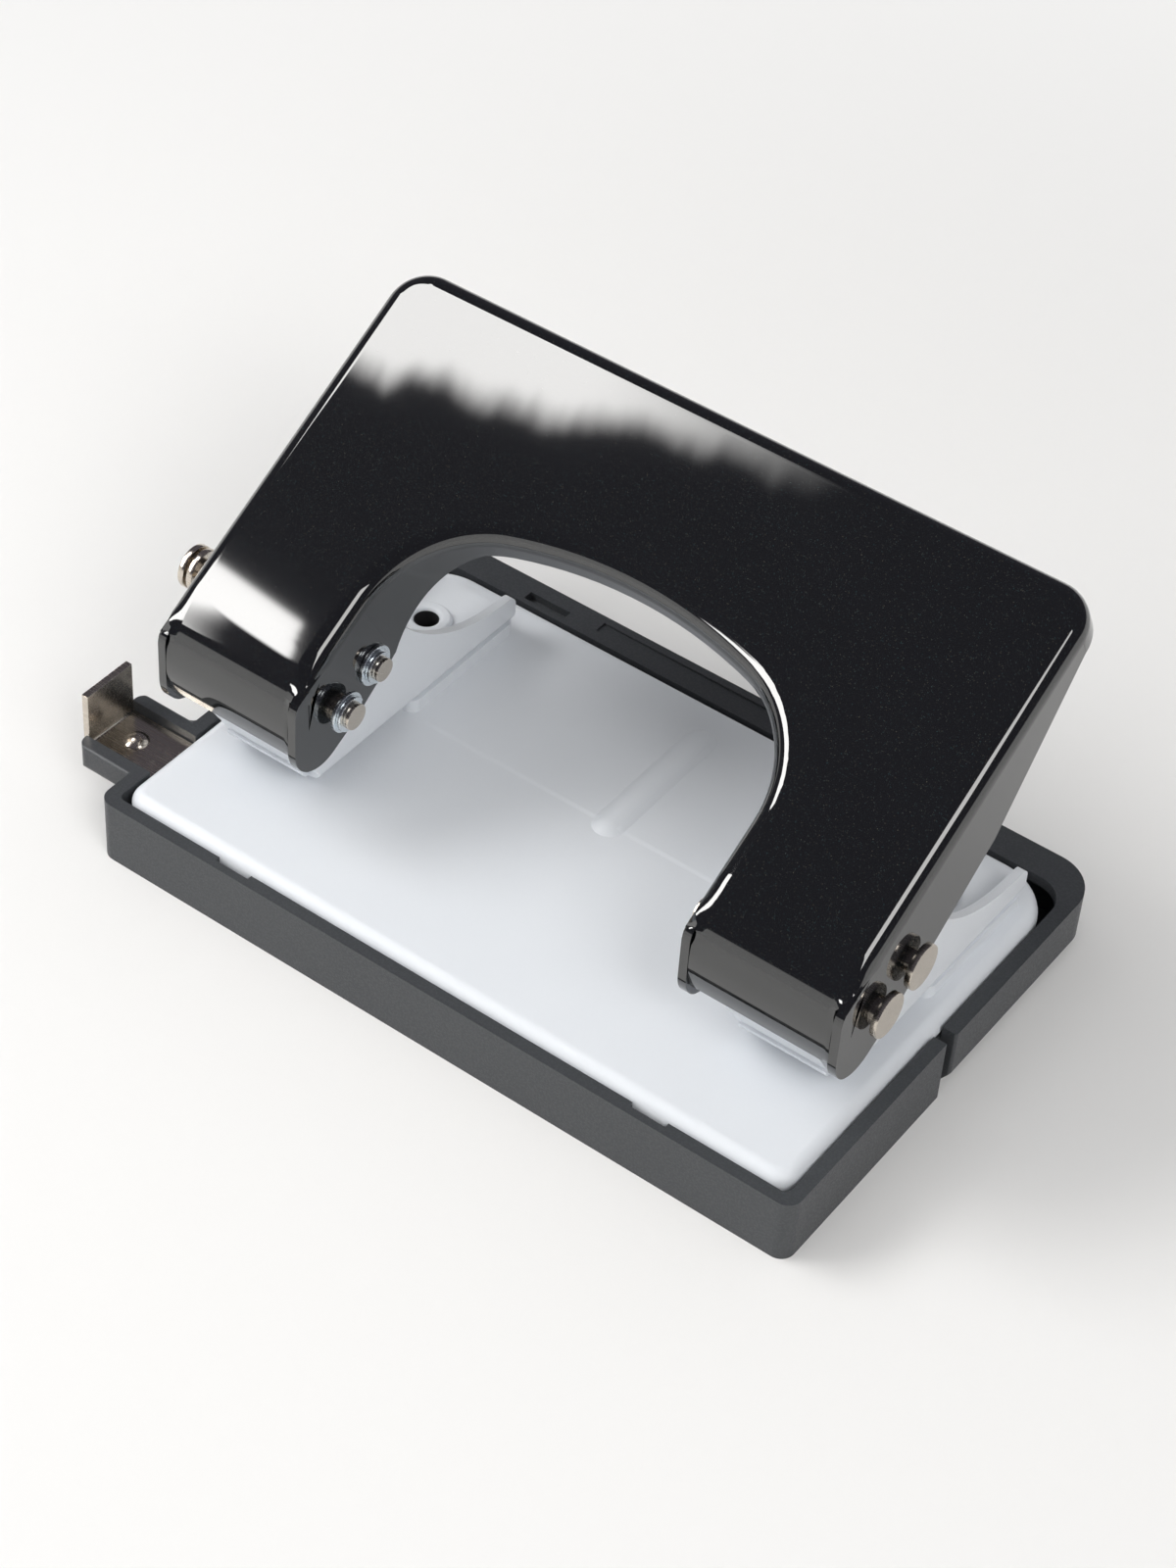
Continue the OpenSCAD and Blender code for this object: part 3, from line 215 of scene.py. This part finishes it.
def bump(tree, height, distance, **over):
    """A bump; over takes the Normal of another bump to lie on."""
    made = shader(tree, "Bump", {"Height": height, "Distance": distance, "Strength": 1.0, **over})
    return made.outputs["Normal"]


def black_lacquer():
    """Clear-coated black with a little flake in it."""
    darker = (0.0018, 0.0022, 0.0027, 1)
    lighter = (0.003, 0.0036, 0.0043, 1)
    flake_share = 0.06
    made, tree, surface = finish_of("black_lacquer", Coat_Weight=1.0, Coat_Roughness=0.03, Coat_IOR=1.9,
                                    Specular_IOR_Level=0.03)
    flake = use(tree, "flake", Size=0.22, Share=0.5)
    cloud = use(tree, "mottle", Size=9.0, Fine=0.5)
    ground = mix(tree, cloud["Slow"], darker, lighter)
    share = maths(tree, "MULTIPLY", flake["Speck"], flake_share)
    tree.links.new(mix(tree, share, ground, flake["Tint"]), surface["Base Color"])
    tree.links.new(ramp(tree, cloud["Fine"], 0.3, 0.7, 0.34, 0.42), surface["Roughness"])
    return made


def pale_paint():
    """Satin paint, rubbed at the edges, with painted shade in the rivets' bores and with the plate's crease.
    """
    darker = (0.735, 0.765, 0.805, 1)
    lighter = (0.765, 0.792, 0.828, 1)
    worn = (0.86, 0.87, 0.88, 1)
    # Painted shade: the colour of the rivets' bores below their lip
    bore_shade_colour = (0.03, 0.03, 0.032, 1)
    crease_height = 0.16 * MM
    paint_height = 0.012 * MM
    made, tree, surface = finish_of("pale_paint", Specular_IOR_Level=0.45)
    cloud = use(tree, "mottle", Size=14.0, Fine=0.45)
    wear = use(tree, "edge_wear", Amount=0.35, Size=1.2)
    colour = mix(tree, cloud["Slow"], darker, lighter)
    rubbed = mix(tree, wear["Wear"], colour, worn)
    # Painted shade in the rivets' bores, from the mark made on the rivets
    deep = shader(tree, "Attribute", attribute_name="deep").outputs["Fac"]
    tree.links.new(mix(tree, deep, rubbed, bore_shade_colour), surface["Base Color"])
    tree.links.new(ramp(tree, cloud["Slow"], 0.3, 0.7, 0.36, 0.44), surface["Roughness"])
    fold = bump(tree, use(tree, "crease", Line=2.05, Half=31.0, Top=11.0)["Height"], crease_height)
    tree.links.new(bump(tree, cloud["Fine"], paint_height, Normal=fold), surface["Normal"])
    return made


def charcoal_plastic():
    """Grained moulding with shinier tops and paler edges."""
    darker = (0.042, 0.045, 0.05, 1)
    lighter = (0.052, 0.056, 0.061, 1)
    tops = (0.08, 0.085, 0.091, 1)
    tops_share = 0.25
    worn = (0.11, 0.115, 0.122, 1)
    grain_height = 0.02 * MM
    made, tree, surface = finish_of("charcoal_plastic", Specular_IOR_Level=0.5)
    grain = use(tree, "moulded_grain", Size=0.28)
    cloud = use(tree, "mottle", Size=18.0, Fine=1.4)
    wear = use(tree, "edge_wear", Amount=0.4, Size=2.0)
    colour = mix(tree, cloud["Slow"], darker, lighter)
    speckled = mix(tree, maths(tree, "MULTIPLY", grain["Tops"], tops_share), colour, tops)
    tree.links.new(mix(tree, wear["Wear"], speckled, worn), surface["Base Color"])
    tree.links.new(ramp(tree, grain["Height"], 0.0, 0.6, 0.5, 0.38), surface["Roughness"])
    tree.links.new(bump(tree, grain["Height"], grain_height), surface["Normal"])
    return made


def bright_metal(name, dull, clean, rough, smooth):
    """Plated or bare metal with fine lines, rubs and duller clouds."""
    wear_gain = 1.1
    rub_share = 0.15
    line_height = 0.002 * MM
    made, tree, surface = finish_of(name, Metallic=1.0)
    lines = use(tree, "brushed", Length=10.0, Width=0.1)
    cloud = use(tree, "mottle", Size=3.0, Fine=0.3)
    wear = use(tree, "edge_wear", Amount=0.6, Size=0.8)
    colour = mix(tree, cloud["Slow"], (*dull, 1), (*clean, 1))
    worn = (*(min(1, wear_gain * c) for c in clean), 1)
    tree.links.new(mix(tree, wear["Wear"], colour, worn), surface["Base Color"])
    rubbed = maths(tree, "ADD", lines["Lines"], maths(tree, "MULTIPLY", lines["Rubs"], rub_share))
    tree.links.new(ramp(tree, rubbed, 0.3, 0.8, smooth, rough), surface["Roughness"])
    tree.links.new(bump(tree, lines["Lines"], line_height), surface["Normal"])
    return made


FINISHES = {
    "black_lacquer": black_lacquer(),
    "pale_paint": pale_paint(),
    "charcoal_plastic": charcoal_plastic(),
    "nickel": bright_metal("nickel", (0.58, 0.52, 0.45), (0.7, 0.64, 0.56), 0.32, 0.16),
    "zinc": bright_metal("zinc", (0.74, 0.79, 0.83), (0.86, 0.91, 0.94), 0.34, 0.2),
    "tool_steel": bright_metal("tool_steel", (0.42, 0.42, 0.43), (0.55, 0.55, 0.56), 0.34, 0.2),
}


# Softened copies of the CAD pieces

# How close vertices have to lie, angles between faces in degrees, and the steps of a rounded edge
WELD = 0.002 * MM
NEAR = 0.02 * MM
FLAT = 0.3
SHARP = 28
SPLIT = 40
ROUND_STEPS = 2


def to_object(bm, name, body, slot, nodes):
    """Makes an object of a bmesh, dressed and placed in the frame."""
    mesh = bpy.data.meshes.new(name)
    bm.to_mesh(mesh)
    bm.free()
    made = bpy.data.objects.new(name, mesh)
    bpy.context.scene.collection.objects.link(made)
    mesh.materials.append(FINISHES[slot])
    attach(made, body)
    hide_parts(*nodes)
    return made


def merged_copy(name):
    """The CAD node's triangles as one closed mesh, with its flat faces whole again."""
    bm = bmesh.new()
    bm.from_mesh(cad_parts[name].data)
    bmesh.ops.remove_doubles(bm, verts=bm.verts[:], dist=WELD)
    bmesh.ops.dissolve_degenerate(bm, edges=bm.edges[:], dist=WELD)
    bmesh.ops.dissolve_limit(bm, angle_limit=math.radians(FLAT), verts=bm.verts[:], edges=bm.edges[:])
    return bm


def soften(bm, width, sharp, kept):
    """Rounds the sharp edges, but for the kept ones, and marks the rounded faces for the finishes."""
    rim = bm.faces.layers.float.new("rim")
    edges = [e for e in bm.edges if len(e.link_faces) == 2 and e.calc_face_angle(0) > math.radians(sharp)
             and e not in kept]
    made = bmesh.ops.bevel(bm, geom=edges, offset=width * MM, offset_type="OFFSET", affect="EDGES",
                           segments=ROUND_STEPS, profile=0.5, material=-1, clamp_overlap=True)
    for face in made["faces"]:
        face[rim] = 1.0
    for face in bm.faces:
        face.smooth = True
    for edge in bm.edges:
        edge.smooth = len(edge.link_faces) == 2 and edge.calc_face_angle(0) < math.radians(SPLIT)


def cap_stub_holes(bm):
    """Thin flush caps in the outer ends of the chip door's hinge holes; their edges stay unrounded."""
    wall = 53.4 * MM
    axis = Vector((0, -6.5 * MM, 4 * MM))
    bore = 1.55 * MM
    cap = 0.15 * MM
    sides = 48

    def on_rim(vert):
        flat = Vector((0, vert.co.y, vert.co.z))
        return abs(abs(vert.co.x) - wall) < NEAR and (flat - axis).length < bore + NEAR

    kept = {edge for edge in bm.edges if all(on_rim(vert) for vert in edge.verts)}
    for sign in (-1, 1):
        place = Matrix.Translation(axis + Vector((sign * (wall - cap / 2), 0, 0)))
        made = bmesh.ops.create_cone(bm, cap_ends=True, segments=sides, radius1=bore, radius2=bore, depth=cap,
                                     matrix=place @ Matrix.Rotation(math.pi / 2, 4, "Y"))
        kept.update(edge for vert in made["verts"] for edge in vert.link_edges)
    return kept


def paint_bore_shade(bm):
    """Marks the inside of a rivet's bore below its lip for painted shade, where the hollow gets no light."""
    bore = 1.9 * MM
    lit_lip = 0.5 * MM
    deep = bm.faces.layers.float.new("deep")
    middle = sum((vert.co for vert in bm.verts), Vector()) / len(bm.verts)
    top = max(vert.co.z for vert in bm.verts)
    for face in bm.faces:
        spot = face.calc_center_median()
        reach = Vector((spot.x - middle.x, spot.y - middle.y)).length
        face[deep] = float(reach < bore and spot.z < top - lit_lip)
    return ()


# The lever's legs: their middles, the bend over the front, the rolled edges and the slit tabs
LEG_X = 40 * MM
NOSE = Vector((0, -13.2 * MM, 27.6 * MM))
NOSE_R = 12 * MM
ROLL_R = 2.5 * MM
ROLL_START = 8.6 * MM
ROLL_OUT = 2.51 * MM
ROLL_FIT = 0.06 * MM
EDGE_DROP = 1.754 * MM
EDGE_OUT = 2.4 * MM
FLAT_TILT, CORNER_TILT, TAB_TILT = (math.radians(a) for a in (30, 67.8, 116))
TAB_HALF = 9.6 * MM
TAB_OUT = 1.1 * MM
TAB_DRAWN = 9.84 * MM
TAB_BACK = -22.5 * MM
SLIT_TOP = 31.25 * MM


def close_slits(bm):
    """Brings the tabs out to the cut edges beside them, so that the slits show as fine lines."""
    for vert in bm.verts:
        off = abs(vert.co.x) - LEG_X
        if abs(abs(off) - TAB_HALF) < NEAR and vert.co.y < TAB_BACK and vert.co.z < SLIT_TOP:
            vert.co.x = math.copysign(LEG_X + math.copysign(TAB_DRAWN, off), vert.co.x)


def straighten_edges(bm):
    """Draws the legs' rolled edges straight on, past the bend, to the corners beside the tabs."""
    for vert in bm.verts:
        out = abs(abs(vert.co.x) - LEG_X) - ROLL_START
        arm = Vector((0, vert.co.y - NOSE.y, vert.co.z - NOSE.z))
        turn = math.atan2(-arm.y, arm.z)
        widest = ROLL_OUT if turn < CORNER_TILT else TAB_OUT
        if not (FLAT_TILT < turn < TAB_TILT and 0 < out < widest):
            continue
        rolled = NOSE_R - ROLL_R + math.sqrt(max(ROLL_R ** 2 - out ** 2, 0))
        if abs(arm.length - rolled) > ROLL_FIT:
            continue
        share = (out / EDGE_OUT) ** 2
        if turn < CORNER_TILT:
            lift = (NOSE_R - EDGE_DROP) * (1 / math.cos(turn - FLAT_TILT) - 1) * share
        else:
            lift = NOSE_R - rolled + NOSE_R * (1 / math.sin(min(turn, math.pi / 2)) - 1) * share
        vert.co += arm.normalized() * lift


def shape_lever(bm):
    """The lever's two departures from its solid; none of its edges is kept from rounding."""
    straighten_edges(bm)
    close_slits(bm)
    return ()


def softened(node, body, slot, width, sharp=SHARP, shaped=None):
    """A copy rounded by width mm in the node's place; shaped alters it first and names edges to keep."""
    bm = merged_copy(node)
    kept = shaped(bm) if shaped else ()
    soften(bm, width, sharp, kept)
    made = to_object(bm, node + "_soft", body, slot, [node])
    evened = made.modifiers.new("even_normals", "WEIGHTED_NORMAL")
    evened.keep_sharp = True


softened("lever", "lever", "black_lacquer", 0.12, shaped=shape_lever)
softened("base_plate", "base", "pale_paint", 0.12)
softened("front_tray", "base", "charcoal_plastic", 0.2, shaped=cap_stub_holes)
softened("chip_door", "chip_door", "charcoal_plastic", 0.2)
softened("gauge_bar", "gauge", "nickel", 0.08)
softened("gauge_rivet", "gauge", "nickel", 0.08)
for side in ("left", "right"):
    softened(side + "_bracket", "base", "pale_paint", 0.05, 40)
    # The rivets carry painted shade in their bores
    softened(side + "_rivet", "base", "pale_paint", 0.1, shaped=paint_bore_shade)
    softened(side + "_hinge_pin", "base", "nickel", 0.12)
    softened(side + "_punch_pin", "lever", "nickel", 0.12)
    softened(side + "_hinge_washer", "base", "zinc", 0.06)
    softened(side + "_punch_washer", "lever", "zinc", 0.06)
    softened(side + "_hinge_ring", "base", "zinc", 0.06)
    softened(side + "_punch_ring", "lever", "zinc", 0.06)
    softened(side + "_punch", side + "_punch", "tool_steel", 0.08)
    softened(side + "_spring_collar", side + "_punch", "zinc", 0.08)


# Springs

def spring(side):
    """Round wire wound on the node's own radius and height, placed with the base; the real spring shortens as
    the punch goes down.
    """
    node = side + "_spring"
    low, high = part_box(node)
    wire = 0.8 * MM
    turns = 6.5
    steps = 26
    sides = 12
    centre = (low + high) / 2
    radius = (high.x - low.x) / 2 - wire / 2
    rise = high.z - low.z - wire
    bm = bmesh.new()
    bmesh.ops.create_circle(bm, segments=sides, radius=wire / 2)
    bmesh.ops.rotate(bm, verts=bm.verts[:], cent=(0, 0, 0), matrix=Matrix.Rotation(math.pi / 2, 3, "X"))
    bmesh.ops.translate(bm, verts=bm.verts[:], vec=(radius, 0, 0))
    count = int(turns * steps)
    bmesh.ops.spin(bm, geom=bm.edges[:], cent=(0, 0, 0), axis=(0, 0, 1), dvec=(0, 0, rise / count),
                   angle=2 * math.pi * turns, steps=count, use_merge=False)
    bmesh.ops.holes_fill(bm, edges=[e for e in bm.edges if e.is_boundary], sides=0)
    bmesh.ops.recalc_face_normals(bm, faces=bm.faces[:])
    if side == "left":
        # This keeps the first coil beside its mirror image, so the left spring has two crossed wires
        bmesh.ops.mirror(bm, geom=bm.faces[:] + bm.edges[:] + bm.verts[:], axis="X", merge_dist=-1)
    for face in bm.faces:
        face.smooth = len(face.verts) == 4
    bmesh.ops.translate(bm, verts=bm.verts[:], vec=(centre.x, centre.y, low.z + wire / 2))
    made = to_object(bm, node + "_coil", "base", "tool_steel", [node])
    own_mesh(made)


for side in ("left", "right"):
    spring(side)


# Studio

def studio_material(name):
    made = bpy.data.materials.new(name)
    made.use_nodes = True
    made.node_tree.nodes.clear()
    return made, made.node_tree, made.node_tree.nodes.new("ShaderNodeOutputMaterial").inputs["Surface"]


def flat_panel(name, corners, material):
    bm = bmesh.new()
    bm.faces.new([bm.verts.new(c) for c in corners])
    mesh = bpy.data.meshes.new(name)
    bm.to_mesh(mesh)
    bm.free()
    made = bpy.data.objects.new(name, mesh)
    bpy.context.scene.collection.objects.link(made)
    mesh.materials.append(material)
    return made


FLOOR = 8.0
PAPER = (0.845, 0.842, 0.836, 1)
PAPER_WHITE = (0.925, 0.92, 0.91, 1)
SHADOW_REACH, WHITE_REACH = 0.1, 0.32


def floor_paper():
    """Pale paper that takes the shadow near the object and runs out to an even white."""
    made, tree, surface = studio_material("floor_paper")
    place = shader(tree, "TexCoord").outputs["Object"]
    reach = shader(tree, "VectorMath", {0: place}, operation="LENGTH").outputs["Value"]
    paper = shader(tree, "BsdfDiffuse", {"Color": PAPER})
    white = shader(tree, "Emission", {"Color": PAPER_WHITE, "Strength": 1.0})
    path = shader(tree, "LightPath")
    seen = maths(tree, "MAXIMUM", path.outputs["Is Camera Ray"], path.outputs["Is Glossy Ray"])
    seen = maths(tree, "MAXIMUM", seen, path.outputs["Is Transmission Ray"])
    share = maths(tree, "MULTIPLY", ramp(tree, reach, SHADOW_REACH, WHITE_REACH), seen)
    both = shader(tree, "MixShader", {0: share, 1: paper.outputs[0], 2: white.outputs[0]})
    tree.links.new(both.outputs[0], surface)
    return made


flat_panel("floor", [(-FLOOR, -FLOOR, 0), (FLOOR, -FLOOR, 0), (FLOOR, FLOOR, 0), (-FLOOR, FLOOR, 0)],
           floor_paper())


MATT_SHARE = 0.39
LAMP = (1.0, 0.99, 0.975, 1)


def lit(tree, strength):
    """A cloth's strength as a mirror image; matt surfaces get a share of it."""
    glossy = shader(tree, "LightPath").outputs["Is Glossy Ray"]
    return ramp(tree, glossy, 0.0, 1.0, MATT_SHARE * strength, strength)


def masked(tree, share, strength, surface):
    """A glowing cloth that is only there in part."""
    light = shader(tree, "Emission", {"Color": LAMP, "Strength": lit(tree, strength)})
    gap = shader(tree, "BsdfTransparent")
    both = shader(tree, "MixShader", {0: share, 1: gap.outputs[0], 2: light.outputs[0]})
    tree.links.new(both.outputs[0], surface)


def soft_cloth(name, strength):
    """Evenly lit cloth of a soft box."""
    made, tree, surface = studio_material(name)
    light = shader(tree, "Emission", {"Color": LAMP, "Strength": lit(tree, strength)})
    tree.links.new(light.outputs[0], surface)
    return made


def feathered_cloth(strength):
    """Cloth over the left rear whose front edge is ragged and whose right side fades out."""
    strands = (60, 18, 1)
    slope, raggedness = 0.209, 0.02
    front_none, front_full = -0.055, -0.043
    right_none, right_full = -0.2, -0.3
    made, tree, surface = studio_material("feathered_cloth")
    place = shader(tree, "TexCoord").outputs["Object"]
    parts = shader(tree, "SeparateXYZ", {"Vector": place})
    x, y = parts.outputs["X"], parts.outputs["Y"]
    feather = shader(tree, "Mapping", {"Vector": place, "Scale": strands})
    noise = shader(tree, "TexNoise", {"Vector": feather.outputs["Vector"], "Scale": 1.0, "Detail": 3.0})
    slant = maths(tree, "SUBTRACT", y, maths(tree, "MULTIPLY", x, slope))
    ragged = maths(tree, "SUBTRACT", noise.outputs["Fac"], 0.5)
    edge = maths(tree, "ADD", slant, maths(tree, "MULTIPLY", ragged, raggedness))
    front = ramp(tree, edge, front_none, front_full)
    right = ramp(tree, x, right_none, right_full)
    masked(tree, maths(tree, "MULTIPLY", front, right), strength, surface)
    return made


def key_cloth(strength, top, down):
    """Cloth on the front left with cut top and right edges; it fades out unevenly downwards."""
    bow_length, bow_share = 0.33, 0.434
    side_blur = 0.0012
    head_slope, head_none, head_full = 0.107, -0.005, -0.0026
    dip_left, dip_power, dip_share = 0.03, 0.75, 2.2
    foot_none, foot_full = 0.335, 0.205
    made, tree, surface = studio_material("key_cloth")
    place = shader(tree, "TexCoord").outputs["Object"]
    below = shader(tree, "VectorMath", {0: place, 1: top}, operation="SUBTRACT").outputs["Vector"]
    depth = shader(tree, "VectorMath", {0: below, 1: down}, operation="DOT_PRODUCT").outputs["Value"]
    left = maths(tree, "MULTIPLY", shader(tree, "SeparateXYZ", {"Vector": below}).outputs["X"], -1.0)
    bow = maths(tree, "MULTIPLY", depth, maths(tree, "SUBTRACT", bow_length, depth))
    bowed = maths(tree, "ADD", left, maths(tree, "MULTIPLY", bow, bow_share))
    side = ramp(tree, bowed, -side_blur, side_blur)
    sloped = maths(tree, "ADD", depth, maths(tree, "MULTIPLY", left, head_slope))
    head = ramp(tree, sloped, head_none, head_full)
    aside = maths(tree, "ABSOLUTE", maths(tree, "SUBTRACT", left, dip_left))
    dip = maths(tree, "MULTIPLY", maths(tree, "POWER", aside, dip_power), dip_share)
    foot = ramp(tree, maths(tree, "SUBTRACT", depth, dip), foot_none, foot_full)
    masked(tree, maths(tree, "MULTIPLY", maths(tree, "MULTIPLY", side, head), foot), strength, surface)
    return made


def soft_box(name, corners, material, mirrored=True):
    """A glowing panel out of the camera's sight; one that is not mirrored shows in no reflection."""
    made = flat_panel(name, corners, material)
    made.visible_camera = False
    made.visible_glossy = mirrored


# Panels: how strongly each glows, and its corners in metres; the key cloth's edges meet at KEY_CUT
TOP_GLOW, KEY_GLOW, RIGHT_GLOW, SIDE_GLOW, FRONT_GLOW = 8.3, 10.0, 5.0, 23.5, 4.9
TOP = 0.6
TOP_CORNERS = ((-0.5, -0.2, TOP), (-0.5, 0.04, TOP), (-0.19, 0.04, TOP), (-0.19, -0.2, TOP))
KEY_CUT = Vector((-0.43, -0.253, 0.717))
KEY_DOWN = Vector((0.0, -0.8549, -0.5188))
KEY_RIGHT, KEY_LEFT = -0.4, -0.98
KEY_ABOVE, KEY_BELOW = 0.05, 0.85
KEY_TOP, KEY_FOOT = KEY_CUT - KEY_ABOVE * KEY_DOWN, KEY_CUT + KEY_BELOW * KEY_DOWN
KEY_CORNERS = [(x, row.y, row.z) for x, row in ((KEY_RIGHT, KEY_TOP), (KEY_LEFT, KEY_TOP),
                                                (KEY_LEFT, KEY_FOOT), (KEY_RIGHT, KEY_FOOT))]
RIGHT_CORNERS = ((0.5, -0.32, 0.72), (0.5, -0.06, 0.72), (0.68, -0.06, 0.52), (0.68, -0.32, 0.52))
SIDE_CORNERS = ((0.53, -0.52, 0.5), (0.73, -0.11, 0.5), (0.6, -0.02, 0.78), (0.4, -0.43, 0.78))
FRONT_CORNERS = ((-0.3, -0.58, 0.66), (0.2, -0.58, 0.66), (0.2, -0.27, 0.87), (-0.3, -0.27, 0.87))

soft_box("top_panel", TOP_CORNERS, feathered_cloth(TOP_GLOW))
soft_box("key_panel", KEY_CORNERS, key_cloth(KEY_GLOW, KEY_CUT, KEY_DOWN))
soft_box("right_panel", RIGHT_CORNERS, soft_cloth("right_cloth", RIGHT_GLOW))
for name, hand in (("left_panel", -1), ("far_right_panel", 1)):
    soft_box(name, [(hand * x, y, z) for x, y, z in SIDE_CORNERS],
             soft_cloth(name.replace("panel", "cloth"), SIDE_GLOW), mirrored=False)
soft_box("front_panel", FRONT_CORNERS, soft_cloth("front_cloth", FRONT_GLOW), mirrored=False)


HORIZON = (0.9, 0.895, 0.885, 1)
CEILING = (0.088, 0.084, 0.102, 1)
HORIZON_TOP, CEILING_FOOT = 0.045, 0.075
FILL = (0.39, 0.39, 0.395, 1)


def studio_world():
    """Even fill for the matt surfaces; a dim ceiling over a pale horizon for the glossy ones."""
    world = bpy.data.worlds.new("studio")
    bpy.context.scene.world = world
    world.use_nodes = True
    tree = world.node_tree
    tree.nodes.clear()
    sky = shader(tree, "TexCoord").outputs["Generated"]
    height = shader(tree, "SeparateXYZ", {"Vector": sky}).outputs["Z"]
    path = shader(tree, "LightPath")
    ceiling = mix(tree, ramp(tree, height, HORIZON_TOP, CEILING_FOOT), HORIZON, CEILING)
    fill = mix(tree, path.outputs["Is Glossy Ray"], FILL, ceiling)
    seen = mix(tree, path.outputs["Is Camera Ray"], fill, PAPER_WHITE)
    light = shader(tree, "Background", {"Color": seen, "Strength": 1.0})
    tree.links.new(light.outputs[0], tree.nodes.new("ShaderNodeOutputWorld").inputs["Surface"])


studio_world()


# Camera, at the photograph's angle

EYE_PLACE = (0.174717, -0.266571, 0.322673)
camera = bpy.data.cameras.new("camera")
camera.lens = 80.86
camera.sensor_width = 36.0
camera.sensor_fit = "AUTO"
camera.clip_start = 0.01
camera.clip_end = 100
eye = bpy.data.objects.new("camera", camera)
bpy.context.scene.collection.objects.link(eye)
azimuth, elevation, roll = (math.radians(a) for a in (33.585, 43.622, 4.267))
right = Vector((math.cos(azimuth), math.sin(azimuth), 0))
back = Vector((math.sin(azimuth) * math.cos(elevation), -math.cos(azimuth) * math.cos(elevation),
               math.sin(elevation)))
up = back.cross(right)
across = math.cos(roll) * right + math.sin(roll) * up
upward = math.cos(roll) * up - math.sin(roll) * right
turn = Matrix((across, upward, back)).transposed().to_4x4()
eye.matrix_world = Matrix.Translation(EYE_PLACE) @ turn
bpy.context.scene.camera = eye
bpy.context.scene.view_settings.view_transform = "Standard"
